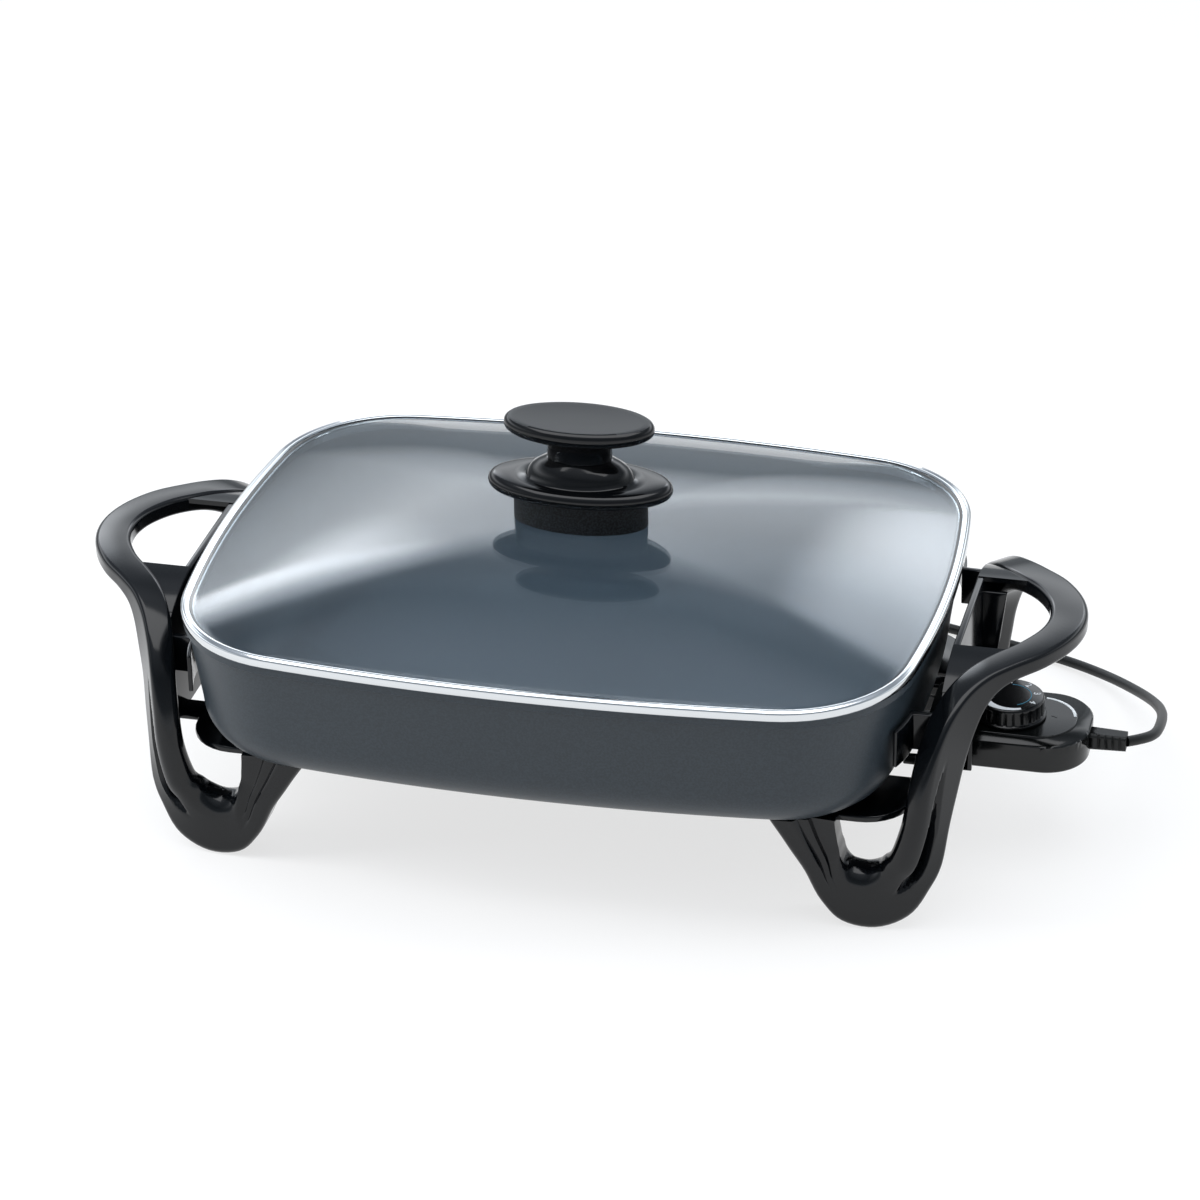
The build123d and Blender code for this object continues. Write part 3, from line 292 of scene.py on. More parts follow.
def rounded_foot(base_z, radius, inset, top_z):
    """Rings down a leaning wall and round into the base, for a fillet of that radius."""
    start = base_z + radius
    middle = start + (top_z - start) / 2
    rings = [rim(top_z, inset(top_z)), rim(middle, inset(middle))]
    for step in range(ROUND_STEPS + 1):
        turn = math.pi / 2 * step / ROUND_STEPS
        rings.append(rim(start - radius * math.sin(turn), inset(start) + radius * (1 - math.cos(turn))))
    return rings


print("the wall leans in by", wall_inset(BASE_Z) - wall_inset(RIM_Z), "mm")

# %% [markdown]
# Every visible piece rides on a body of the solid model, so that it moves with it. It also names the slot of
# the record that its finish belongs to, and the solids that it stands for.

# %% Pan body
BEAD_FOOT_Z = RIM_Z - BEAD_HEIGHT
WALL_TOP_Z = BEAD_FOOT_Z - 2
CAP_INSET = BASE_ROUND + 30  # the flat base is closed from here


def place(piece, body, slot, replaces=()):
    """The piece rides on a body, takes its finish from a slot, and stands for some nodes."""
    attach(piece, body)
    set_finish(piece, slot)
    if replaces:
        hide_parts(*replaces)


outside = [
    rim(RIM_Z, PAN_INSET + BEAD + WALL),
    rim(RIM_Z, PAN_INSET + LIP_ROUND),
    rim(RIM_Z - LIP_ROUND, PAN_INSET),
    rim(BEAD_FOOT_Z + BEAD_ROUND, PAN_INSET),
    rim(BEAD_FOOT_Z, PAN_INSET + BEAD_ROUND),
    rim(BEAD_FOOT_Z - UNDER_BEAD, wall_inset(BEAD_FOOT_Z)),
    *rounded_foot(BASE_Z, BASE_ROUND, wall_inset, WALL_TOP_Z),
    rim(BASE_Z, CAP_INSET),
]
inside = [
    *rounded_foot(BASE_Z + FLOOR, BASE_ROUND - WALL, lambda z: wall_inset(z) + WALL, RIM_Z),
    rim(BASE_Z + FLOOR, CAP_INSET),
]
pan_body = skin("pan_body", [*outside[::-1], *inside[1:]], smooth=35)
place(pan_body, "skillet", "pan_coating", ["pan"])

# %% [markdown]
# ## Underside of the pan
#
# Below its base the casting has a channel for the heating element, ribs, bosses for the screws and a lug for
# the probe. They could be modelled again, but the solid model already has them right. So its mesh is copied,
# its loose triangles are merged, and it is cut off just above the base, where it meets the new wall.

# %% Copies of solids
MERGE_DISTANCE = 0.01


def copy_of(node, name, smooth=35.0):
    """A copy of a solid's mesh with its loose triangles merged, so that it can be shaded smooth."""
    bpy.ops.object.select_all(action="DESELECT")
    piece = bpy.data.objects.new(name, frame["nodes"][node].data.copy())
    bpy.context.collection.objects.link(piece)
    bpy.context.view_layer.objects.active = piece
    piece.select_set(True)
    bpy.ops.object.mode_set(mode="EDIT")
    bpy.ops.mesh.select_all(action="SELECT")
    bpy.ops.mesh.remove_doubles(threshold=MERGE_DISTANCE * MM)
    bpy.ops.mesh.tris_convert_to_quads(face_threshold=math.radians(1), shape_threshold=math.radians(180))
    bpy.ops.object.mode_set(mode="OBJECT")
    bpy.ops.object.shade_smooth_by_angle(angle=math.radians(smooth))
    return piece


print("points closer than", MERGE_DISTANCE, "mm are merged")

# %% [markdown]
# Only what hangs below the base is needed from that copy. A boolean could take the rest away, but bisect cuts
# at one level and closes the cut in the same step.

# %% Underside
UNDERSIDE_TOP_Z = BASE_Z + 0.4

pan_underside = copy_of("pan", "pan_underside")
bpy.ops.object.mode_set(mode="EDIT")
bpy.ops.mesh.select_all(action="SELECT")
bpy.ops.mesh.bisect(plane_co=(0, 0, UNDERSIDE_TOP_Z * MM), plane_no=(0, 0, 1), clear_outer=True, use_fill=True)
bpy.ops.object.mode_set(mode="OBJECT")
place(pan_underside, "skillet", "pan_coating")
print("underside faces", len(pan_underside.data.polygons))

# %% [markdown]
# ## End frames: the bar
#
# Each end frame is one moulding in phenolic resin, and it is the hardest form here. Its handle, leg and foot
# are a single bar whose section keeps changing: flat and level in the handle, tall in the leg, deep and round
# in the foot, and stepped where the inner strand goes back up to the pan. A bevelled curve can't do that,
# because its section stays the same. So the bar is a skin over sections, and each section is worked out from
# a few stations along the bar.

# %% Stations along the bar
HANDLE_REACH = 286.5
HANDLE_Z = 137.0
# For each station: x, y and z of its middle, the bearing in plan of its outward face, the depth along that
# bearing, the breadth, and the lean, which is the angle of the bar's run where the foot fans out.
STATIONS = (
    (HANDLE_REACH - 10.5, 0, HANDLE_Z, 0, 21, 10.5, -90),
    (HANDLE_REACH - 14, -19, HANDLE_Z, 18, 20.5, 10.5, -90),
    (262.5, -37, HANDLE_Z - 0.5, 40, 20, 10.5, -90),
    (249.5, -51, HANDLE_Z - 2, 52, 19, 11, -90),
    (239.5, -62, 131.5, 52, 18, 14, -90),
    (232.0, -73, 125, 46, 17, 19, -90),
    (226.5, -84, 114.5, 38, 15.5, 25, -90),
    (222.5, -93, 101, 32, 14.5, 29, -95),
    (219.0, -101, 83, 32, 14.5, 30, -99),
    (215.5, -106.5, 63, 35, 15.5, 28.5, -104),
    (211.2, -108.5, 43.8, 48, 17.5, 28.7, -111),
    (206.6, -108, 34.4, 60, 19.5, 30.3, -128),
    (200.2, -107, 23.9, 74, 22, 34.9, -151),
    (188.0, -106.5, 17.8, 84, 24, 36.3, -169),
    (174.8, -107.5, 19.9, 87, 24, 35.0, -186),
    (166.8, -109, 28.2, 89, 23, 29.5, -201),
    (161.2, -110.5, 40.8, 90, 21.5, 24.0, -230),
    (155.4, -112, 53.5, 92, 20, 28.7, -256),
    (150.2, -113.5, 66.2, 94, 18, 36.7, -265),
)
# Places along the bar, counted in stations.
LEG_START, LEG_FULL = 7, 9
FOOT_START, FOOT_FULL = 10, 12
print("stations", len(STATIONS))

# %% [markdown]
# Between stations every value has to run on without a kink, or the gloss would show a crease. A straight blend
# would leave one at each station. A curve that passes through all of them, with a slope that is taken from
# the neighbours, leaves none.

# %% Values between stations
SPAN_STEPS = 5


def blend_stations(step, share):
    """Values between two stations, on a smooth curve through all of them."""
    last = len(STATIONS) - 1
    around = [STATIONS[max(0, min(last, step + shift))] for shift in (-1, 0, 1, 2)]
    if step == 0:
        # The bar goes on into its mirror image, so the curve has to pass the middle level.
        x, y, z, bearing, depth, breadth, lean = around[2]
        around[0] = (x, -y, z, -bearing, depth, breadth, lean)
    values = []
    for a, b, c, d in zip(*around):
        values.append(0.5 * (2 * b + (c - a) * share + (2 * a - 5 * b + 4 * c - d) * share**2
                             + (3 * b - a - 3 * c + d) * share**3))
    return values


bar = []
for step in range(len(STATIONS) - 1):
    for part in range(SPAN_STEPS):
        bar.append((step + part / SPAN_STEPS, blend_stations(step, part / SPAN_STEPS)))
bar.append((len(STATIONS) - 1, list(STATIONS[-1])))
print("sections", len(bar))

# %% [markdown]
# A round bead runs down the near edge of the leg and round the foot, and a deep groove lies beside it. Both
# fade in below the handle and out again in the foot. The inner strand has two steps instead. All of them are
# cut into the outward face, as a share of the way across it.

# %% Relief of the outward face
GROOVE_PLACE = 0.68
GROOVE_HALF = 0.2
GROOVE_SLOPE = 0.08
GROOVE_DEPTH = 6.0
GROOVE_FADE = (11, 12)
STRAND_STEPS = ((0.36, 3.0), (0.62, 3.0))
STRAND_SLOPE = 0.05
STRAND_FADE = (14.4, 16)


def rise(value, start, end):
    """Rises from 0 at start to 1 at end."""
    return max(0.0, min(1.0, (value - start) / (end - start)))


def face_dip(along, share):
    """How far the outward face is set back at a share of its breadth."""
    groove = rise(along, LEG_START, LEG_FULL) * (1 - rise(along, *GROOVE_FADE))
    away = abs(share - GROOVE_PLACE)
    sides = rise(away, GROOVE_HALF * groove - GROOVE_SLOPE, GROOVE_HALF * groove)
    steps = sum(depth * rise(share, at, at + STRAND_SLOPE) for at, depth in STRAND_STEPS)
    return (1 - sides) * GROOVE_DEPTH * groove + rise(along, *STRAND_FADE) * steps


print("groove on the leg", round(face_dip(LEG_FULL, GROOVE_PLACE), 1), "mm deep")

# %% [markdown]
# A section is first drawn flat, outwards to the right and across the bar upwards. Its corners are quarter
# circles: small in the handle, and as large as the bead along the near edge of the leg. A bevel could round
# them later, but it couldn't grow from one size to the other.

# %% Outline of one section, laid flat
EDGE_ROUND = 3.0
FOOT_ROUND = 4.5
BEAD_SPARE = 0.2
BEAD_FADE = (14, 15.5)
CORNER_POINTS = 6
FACE_POINTS = 24


def flat_section(along, depth, breadth):
    """Points round the bar: four rounded corners, and the outward face with its relief."""
    bead = rise(along, LEG_START, LEG_FULL) * (1 - rise(along, *BEAD_FADE))
    near_round = EDGE_ROUND + (depth / 2 - BEAD_SPARE - EDGE_ROUND) * bead
    far_round = EDGE_ROUND + (FOOT_ROUND - EDGE_ROUND) * rise(along, FOOT_START, FOOT_FULL)
    corners = (
        (depth / 2 - near_round, breadth / 2 - near_round, near_round),
        (near_round - depth / 2, breadth / 2 - near_round, near_round),
        (EDGE_ROUND - depth / 2, EDGE_ROUND - breadth / 2, EDGE_ROUND),
        (depth / 2 - far_round, far_round - breadth / 2, far_round),
    )
    flat = []
    for number, (u, v, radius) in enumerate(corners):
        for step in range(CORNER_POINTS + 1):
            turn = math.pi / 2 * (number + step / CORNER_POINTS)
            flat.append((u + radius * math.cos(turn), v + radius * math.sin(turn)))
    # Up the outward face, from the far corner back to the near one.
    low, high = flat[-1][1], flat[0][1]
    for step in range(1, FACE_POINTS):
        share = step / FACE_POINTS
        flat.append((depth / 2 - face_dip(along, share), low + (high - low) * share))
    if along > STRAND_FADE[0]:
        # The steps carry on round the near corner, so that no lip is left at the strand's edge.
        sunk = depth / 2 - face_dip(along, 1.0)
        flat = [(min(u, sunk), v) for u, v in flat[:CORNER_POINTS + 1]] + flat[CORNER_POINTS + 1:]
    return flat


print("points in a section", len(flat_section(0, *STATIONS[0][4:6])))

# %% [markdown]
# Each flat section is then turned to face outwards and square to the bar's run. In the foot, the run turns so
# tightly that sections square to it would cross, so there they fan out at the angles given by the stations.

# %% Sections in place
UNDER_PAN_Z = 66.5


def section_axes(bearing, direction):
    """The two axes of a section: outwards, and across towards the near edge."""
    outward = Vector((math.cos(math.radians(bearing)), -math.sin(math.radians(bearing)), 0))
    broad = direction.cross(outward).normalized()
    return broad.cross(direction).normalized(), broad


def bar_section(along, values, direction):
    """The ring of points round the bar at one place."""
    x, y, z, bearing, depth, breadth, lean = values
    if along > FOOT_START:
        direction = Vector((math.cos(math.radians(lean)), 0, math.sin(math.radians(lean))))
    outward, broad = section_axes(bearing, direction)
    middle = Vector((x, y, z))
    ring = [middle + outward * u + broad * v for u, v in flat_section(along, depth, breadth)]
    # The foot is ground flat, and the inner strand is cut level just under the pan.
    top = UNDER_PAN_Z if along > FOOT_START else math.inf
    return [(point.x, point.y, max(0.0, min(point.z, top))) for point in ring]


print("the inner strand is cut level at", UNDER_PAN_Z, "mm")

# %% [markdown]
# The run at each section is taken from its neighbours. The crest is the line that apron and tongues have to
# meet: the bar's upper edge, on the side that faces the pan. It could be read off the mesh afterwards, but it
# is surer to work it out with the same axes.

# %% Run of the bar, and its crest
CREST_RANGE = (2.5, LEG_START + 0.1)
CREST_FROM_BACK = 1.5
CREST_FROM_EDGE = 1.2


def crest_point(values, direction):
    """Where the near edge of the bar meets the side that faces the pan."""
    x, y, z, bearing, depth, breadth, lean = values
    outward, broad = section_axes(bearing, direction)
    return (Vector((x, y, z)) + outward * (CREST_FROM_BACK - depth / 2)
            + broad * (breadth / 2 - CREST_FROM_EDGE))


half_bar = []
crest = []
for number, (along, values) in enumerate(bar):
    ahead = Vector(bar[min(number + 1, len(bar) - 1)][1][:3])
    behind = Vector(bar[max(number - 1, 0)][1][:3])
    direction = (ahead - behind).normalized() if number else Vector((0, -1, 0))
    half_bar.append(bar_section(along, values, direction))
    if CREST_RANGE[0] < along < CREST_RANGE[1]:
        crest.append(crest_point(values, direction))
print("half bar has", len(half_bar), "rings, its crest", len(crest), "points")

# %% [markdown]
# Half a bar is now known. Its mirror image goes before it, and both frames are skinned from the same sections.
# A Mirror modifier would leave a seam in the middle of the handle, where it would be seen most.

# %% Bars of both frames
SIDES = (("left", -1), ("right", 1))
ENDS = (("front", -1), ("back", 1))


def turned(ring, x_side=1, y_side=1):
    """A ring seen in the mirror planes."""
    return [(x * x_side, y * y_side, z) for x, y, z in ring]


for name, side in SIDES:
    rings = [turned(ring, side, -1) for ring in half_bar[:0:-1]] + [turned(ring, side) for ring in half_bar]
    bar_piece = skin(f"{name}_frame_bar", rings, smooth=50)
    place(bar_piece, "skillet", "phenolic", [f"{name}_frame"])


# %% [markdown]
# ## End frames: the plates
#
# An apron closes the space between the legs, and the top of the handle is carried across to it. They are thin
# walls of the same moulding. Each could be cut from a cube with booleans. It is quicker, and leaves cleaner
# edges, to lay the outline as one face, extrude it and bevel its edges.

# %% Plates and arcs


def plate(name, outline, shift, smooth=40.0, bevel=0.0):
    """A flat plate: a face with that outline, extruded by shift."""
    piece = start_piece(name)
    add_circle(len(outline), filled=True)
    move_points(piece, outline)
    bpy.ops.mesh.select_all(action="SELECT")
    bpy.ops.mesh.extrude_region_move(TRANSFORM_OT_translate={"value": Vector(shift) * MM})
    return finish_mesh(piece, smooth, bevel)


def arc(middle, radius, start, end, steps=8):
    """Points on an arc, with angles in degrees."""
    turns = [math.radians(start + (end - start) * step / steps) for step in range(steps + 1)]
    return [(middle[0] + radius * math.cos(turn), middle[1] + radius * math.sin(turn)) for turn in turns]


# %% [markdown]
# The apron's upper edge follows the crest, a little lower, so that it stays hidden in the bar. Its lower edge is
# level. The right one is the same wall with the opening for the heat control.

# %% Aprons
APRON_X = 218.5
APRON_THICK = 4.0
APRON_HALF = 94.0
APRON_BASE_Z = 61.0
BELOW_CREST = 0.5
CORNER_DROP = 3.0
GUARD_HALF = 38.0
GUARD_TOP_Z = 97.0
GUARD_ROUND = 14.0


def arch(half, top, radius):
    """An opening with round top corners, from its foot at -Y to its foot at +Y."""
    rounded = arc((radius - half, top - radius), radius, 180, 90)
    rounded += arc((half - radius, top - radius), radius, 90, 0)
    return [(-half, APRON_BASE_Z), *rounded, (half, APRON_BASE_Z)]


shoulder = [(point.y, point.z - BELOW_CREST) for point in crest if point.y > -APRON_HALF][::-1]
half_outline = [(-APRON_HALF, APRON_BASE_Z), (-APRON_HALF, shoulder[0][1] - CORNER_DROP), *shoulder]
apron_outline = half_outline + [(-y, z) for y, z in half_outline[::-1]]
for name, side in SIDES:
    # The frame at +X leaves an opening for the heat control.
    opening = arch(GUARD_HALF, GUARD_TOP_Z, GUARD_ROUND)[::-1] if name == "right" else []
    apron = plate(f"{name}_apron", [(side * APRON_X, y, z) for y, z in apron_outline + opening],
                  (side * APRON_THICK, 0, 0), bevel=0.8)
    place(apron, "skillet", "phenolic")


# %% [markdown]
# Between the handle's ribbon and the apron the moulding is closed by a thin level tongue, which runs down along
# the leg and ends where leg and apron meet. A flat plate can't follow that falling edge. So each tongue is a
# skin over rings of four points, one ring for each point of the bar's crest.

# %% Tongues between handle and apron
TONGUE_THICK = 3.0
TONGUE_ROOT_X = APRON_X + 0.5
LEAST_TONGUE = 1.0


def tongue(name, side, turn):
    """The handle's top carried across to the apron, and down along the leg until the two meet."""
    rings = []
    for point in crest:
        if point.x <= TONGUE_ROOT_X + LEAST_TONGUE:
            break
        levels = ((TONGUE_ROOT_X, point.z), (point.x, point.z), (point.x, point.z - TONGUE_THICK),
                  (TONGUE_ROOT_X, point.z - TONGUE_THICK))
        rings.append([(side * x, -turn * point.y, z) for x, z in levels])
    place(skin(name, rings, smooth=40), "skillet", "phenolic")


for name, side in SIDES:
    for end, turn in ENDS:
        tongue(f"{name}_{end}_tongue", side, turn)


# %% [markdown]
# A short curved wall follows the pan's corner behind each leg and stiffens the apron's end. It could be a bent
# cube. An arc outside and an arc inside give its outline at once, and the plate stands up from it.

# %% Corner walls
CORNER_CENTRE = (131.4, 80.0)
CORNER_WALL_INNER = (71.5, 2, 22)  # radius, and the angles where the arc starts and ends
CORNER_WALL_OUTER = (74.0, 22, 5)
CORNER_WALL_ROOTS = ((APRON_X + 1, CORNER_CENTRE[1] + 2), (APRON_X + 1, CORNER_CENTRE[1] + 6))
CORNER_WALL_Z = (98.0, 120.0)

wall_outline = [CORNER_WALL_ROOTS[0], *arc(CORNER_CENTRE, *CORNER_WALL_INNER),
                *arc(CORNER_CENTRE, *CORNER_WALL_OUTER), CORNER_WALL_ROOTS[1]]
low, high = CORNER_WALL_Z
for name, side in SIDES:
    for end, turn in ENDS:
        corner = plate(f"{name}_{end}_corner_wall", [(side * x, turn * y, low) for x, y in wall_outline],
                       (0, 0, high - low), bevel=0.6)
        place(corner, "skillet", "phenolic")


# %% [markdown]
# Under the pan a flat strap runs from the apron to the foot's inner strand, where a screw holds it to a boss.
# It is an L with one round corner. Two cubes joined by a boolean would do, but one outline is simpler.

# %% Straps
STRAP_Z = 61.0
STRAP_THICK = 4.0
STRAP_REACH = (206.0, 108.0)
STRAP_WIDTH = 31.0
STRAP_INNER_X = 126.0
STRAP_ROUND = 27.0
STRAP_END_Y = 60.0

reach_x, reach_y = STRAP_REACH
inner_x, inner_y = reach_x - STRAP_WIDTH, reach_y - STRAP_WIDTH
apron_middle_x = APRON_X + APRON_THICK / 2
strap_outline = [
    (STRAP_INNER_X, reach_y), *arc((reach_x - STRAP_ROUND, reach_y - STRAP_ROUND), STRAP_ROUND, 90, 0),
    (reach_x, inner_y), (apron_middle_x, inner_y), (apron_middle_x, STRAP_END_Y),
    (inner_x, STRAP_END_Y), (inner_x, inner_y), (STRAP_INNER_X, inner_y),
]
for name, side in SIDES:
    for end, turn in ENDS:
        strap = plate(f"{name}_{end}_strap", [(side * x, turn * y, STRAP_Z) for x, y in strap_outline],
                      (0, 0, STRAP_THICK), bevel=1.2)
        place(strap, "skillet", "phenolic")


# %% [markdown]
# ## Guard round the heat control
#
# The frame at +X keeps fingers off the terminal pins. Two upright webs stand beside the control, and their
# fronts curve outwards to the ribbon. That curve could be a Bézier curve, but a few points are enough for a
# form of this size, so each web is a plate again.

# %% Webs
GUARD_WALL = 3.0
WEB_FOOT = ((219.5, 68), (192, 67), (192, 61), (229, 61), (229.5, 75), (231, 90))
WEB_TOPS = {
    "front": ((235, 103), (241, 112), (249, 121), (258, 127.5), (264, 131.5), (219.5, 131.5)),
    "back": ((232.5, 103), (234, 115), (235.5, 128), (236, 131.5), (219.5, 131.5)),
}

for end, turn in ENDS:
    web = plate(f"guard_{end}_web", [(x, turn * GUARD_HALF, z) for x, z in WEB_FOOT + WEB_TOPS[end]],
                (0, turn * GUARD_WALL, 0), bevel=0.8)
    place(web, "skillet", "phenolic")


# %% [markdown]
# A rim runs round the opening in the apron, through which the control is pushed on. It could be extruded from
# the apron's own edge. As a plate between two arches it keeps its wall even at the round corners.

# %% Rim of the opening
GUARD_RIM = 8.0

outer_arch = arch(GUARD_HALF + GUARD_WALL, GUARD_TOP_Z + GUARD_WALL, GUARD_ROUND + GUARD_WALL)
inner_arch = arch(GUARD_HALF, GUARD_TOP_Z, GUARD_ROUND)[::-1]
guard_rim = plate("guard_rim", [(APRON_X, y, z) for y, z in outer_arch + inner_arch],
                  (APRON_THICK + GUARD_RIM, 0, 0), bevel=0.6)
place(guard_rim, "skillet", "phenolic")

# %% [markdown]
# ## Lid glass
#
# The glass is a sheet pressed to a shallow dome with a flat edge, and then tempered. A scaled half sphere
# would be round in plan and steep at its foot. So the dome is the pan's outline again, shrinking towards the
# middle while it rises, and steepest near its foot. The sheet has an inner and an outer surface, because
# light bends and reflects at both.

# %% Lid glass
SHEET = 0.7
GLASS = 4.0
GLASS_ROUND = 0.8
GLASS_CHAMFER = 0.5
BAND_LIP = 5.0
CROWN = 23.0
DOME_POWER = 2.4
DOME_STEPS = (1.0, 0.985, 0.97, 0.95, 0.92, 0.88, 0.83, 0.77, 0.7, 0.62, 0.53, 0.43, 0.33, 0.22, 0.1)

glass_base = RIM_Z + SHEET
glass_edge = glass_base + GLASS
dome_inset = BAND_LIP + 1


def dome_rings(foot_z, inset):
    """Rings of the dome from its foot to near its crown."""
    return [rim(foot_z + CROWN * (1 - step**DOME_POWER), inset, step) for step in DOME_STEPS]


glass_rings = [
    *dome_rings(glass_edge - GLASS, dome_inset + 1)[::-1],
    rim(glass_base, SHEET + GLASS_CHAMFER), rim(glass_base + GLASS_ROUND, SHEET),
    rim(glass_edge - GLASS_ROUND, SHEET), rim(glass_edge, SHEET + GLASS_CHAMFER),
    *dome_rings(glass_edge, dome_inset),
]
glass = skin("lid_glass_dome", glass_rings, smooth=50)
place(glass, "lid", "lid_glass", ["lid_glass"])

# %% [markdown]
# ## Steel band
#
# A strip of bright steel is rolled round the edge of the glass. Its section is a letter S: it grips the glass
# above, and a skirt hangs inside the pan and centres the lid. That section could be swept along a curve with a
# bevel object. A closed skin gives the same, and keeps the outline's own corners: each point of the section
# becomes one ring, and the last ring is bridged to the first.

# %% Steel band
LEDGE = 8.3
SKIRT_DROP = 4.0

band_top = glass_edge + SHEET
# Inset and height of each point of the section: outside, over the bead on top, under the glass, down the skirt.
band_profile = (
    (0.0, RIM_Z + 0.6), (0.0, band_top - 1.2), (0.4, band_top - 0.4), (1.4, band_top), (2.2, band_top - 0.5),
    (3.0, band_top - 0.1), (4.3, band_top), (BAND_LIP, glass_edge + 0.25), (BAND_LIP, glass_edge),
    (SHEET, glass_edge), (SHEET, glass_base), (LEDGE - SHEET, RIM_Z + SHEET), (LEDGE - 0.1, RIM_Z + 0.4),
    (LEDGE, RIM_Z), (LEDGE, RIM_Z - SKIRT_DROP), (LEDGE - SHEET, RIM_Z - SKIRT_DROP), (LEDGE - SHEET, RIM_Z),
    (0.5, RIM_Z),
)
band = skin("lid_steel_band", [rim(z, inset) for inset, z in band_profile], closed=True, smooth=50)
place(band, "lid", "lid_steel", ["lid_band"])

# %% [markdown]
# ## Knob
#
# Three oval mouldings stand on one screw: a matt seat on the glass, a shield that keeps the hand off it, and
# the cap that is gripped. A spin makes round pieces only, so each of these is a stack of ovals, close together
# where the form turns. Their heights are read from the solid model.

# %% Ovals and heights of the knob
OVAL_POINTS = 64


def oval(length, width, z):
    """An oval ring about the knob's axis."""
    turns = [2 * math.pi * step / OVAL_POINTS for step in range(OVAL_POINTS)]
    return [(length / 2 * math.cos(turn), width / 2 * math.sin(turn), z) for turn in turns]


crown_z, seat_top = (corner[2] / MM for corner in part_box("knob_seat"))
shield_low, shield_high = (corner[2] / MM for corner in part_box("knob_shield"))
cap_low, cap_high = (corner[2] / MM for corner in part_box("knob_cap"))
print("knob heights", [round(z, 1) for z in (crown_z, seat_top, shield_high, cap_high)])

# %% [markdown]
# The seat is a low oval block with a narrow bevel round its top, and all that shows of it is its matt side. Two
# ovals and a smaller one on top are enough.

# %% Seat
SEAT_FOOT = (77, 40)
# For each ring: length, width and how far below the top of the seat.
SEAT_TOP_RINGS = ((77, 40, 1), (76, 39, 0), (20, 10, 0))

seat_rings = [oval(*SEAT_FOOT, crown_z)]
seat_rings += [oval(length, width, seat_top - down) for length, width, down in SEAT_TOP_RINGS]
seat = skin("knob_seat_block", seat_rings, smooth=40)
place(seat, "lid", "phenolic", ["knob_seat"])

# %% [markdown]
# The shield is a thin oval saucer with a full round edge, and in its middle it rises like a bell to meet the
# cap. It could be a flattened cylinder with a bevel, but the bell's hollow flank needs rings of its own. The
# round edge is half a circle that is worked out, and the bell is a table of ovals.

# %% Shield
SHIELD_LENGTH = 106
SHIELD_WIDTH = 53
SHIELD_EDGE = 4.5  # radius of the round edge
SHIELD_EDGE_STEPS = 8
# For each ring: length, width and how far above the foot, or below the top, of the shield.
BELL_FLANK = ((76, 44, 9), (66, 40, 9.2), (62, 38, 10), (59, 36, 13), (54, 33.5, 16), (46, 29, 18.5))
BELL_TOP = ((38.5, 25, 0.5), (37, 24, 0), (10, 8, 0))

shield_rings = [oval(40, 20, shield_low)]
for step in range(SHIELD_EDGE_STEPS + 1):
    turn = math.pi * (step / SHIELD_EDGE_STEPS - 0.5)
    pulled_in = 2 * SHIELD_EDGE * (1 - math.cos(turn))
    shield_rings.append(oval(SHIELD_LENGTH - pulled_in, SHIELD_WIDTH - pulled_in,
                             shield_low + SHIELD_EDGE + SHIELD_EDGE * math.sin(turn)))
shield_rings += [oval(length, width, shield_low + up) for length, width, up in BELL_FLANK]
shield_rings += [oval(length, width, shield_high - down) for length, width, down in BELL_TOP]
shield = skin("knob_shield_plate", shield_rings, smooth=40)
place(shield, "lid", "knob_plastic", ["knob_shield"])

# %% [markdown]
# The cap is what the hand grips: a neck that flares out under a wide oval top, whose upper face is slightly
# hollow. Sculpting would leave an uneven rim. A table of ovals keeps the rim's thin bright line true all round.

# %% Cap
# For each ring: length, width and how far above the foot, or below the top, of the cap.
CAP_FLANK = (
    (10, 8, 0), (36, 23, 0), (37, 24, 0.5), (37, 24, 7), (38.5, 25, 9), (46, 29, 11), (60, 34.5, 13.3),
    (76, 40.5, 15.2), (82, 43, 16.2), (84.8, 44.2, 17.4), (86, 45, 19.3), (85.6, 44.7, 21), (84, 43.4, 22.6),
)
CAP_TOP = ((81, 41, 0.4), (77, 38.5, 0), (72, 35.5, 0.1), (50, 24, 0.5), (24, 12, 0.7))

cap_rings = [oval(length, width, cap_low + up) for length, width, up in CAP_FLANK]
cap_rings += [oval(length, width, cap_high - down) for length, width, down in CAP_TOP]
cap = skin("knob_cap_grip", cap_rings, smooth=40)
place(cap, "lid", "knob_plastic", ["knob_cap"])

# %% [markdown]
# ## Pieces that keep the solid's own form
#
# The heat control is two plastic shells screwed together, with a metal probe, a ribbed strain relief, a cord
# and a plug. Their form comes straight from the solid model. A CAD mesh is loose triangles, which shade as
# facets. Modelling them again would add nothing, so each is a merged copy, and the light runs smoothly over
# its corners. The screws, pins and the heating element are treated the same way.

# %% Smooth copies
SMOOTH_COPIES = (
    ("lower_housing", "heat_control", "control_plastic"),
    ("upper_housing", "heat_control", "control_plastic"),
    ("probe_tube", "heat_control", "steel"),
    ("strain_relief", "heat_control", "cord_rubber"),
    ("plug_body", "heat_control", "cord_rubber"),
    ("plug_blades", "heat_control", "brass"),
    ("cord_tie", "heat_control", "tie"),
    ("heating_element", "skillet", "steel"),
    ("terminal_pins", "skillet", "steel"),
    ("terminal_bushes", "skillet", "ceramic"),
    ("left_frame_screws", "skillet", "steel"),
    ("right_frame_screws", "skillet", "steel"),
    ("knob_screw", "lid", "steel"),
    ("knob_washer", "lid", "seal"),
    ("control_screws", "heat_control", "steel"),
)
smooth = {}
for node_name, body, slot in SMOOTH_COPIES:
    smooth[node_name] = copy_of(node_name, f"{node_name}_piece")
    place(smooth[node_name], body, slot, [node_name])
print("smooth copies", len(smooth))

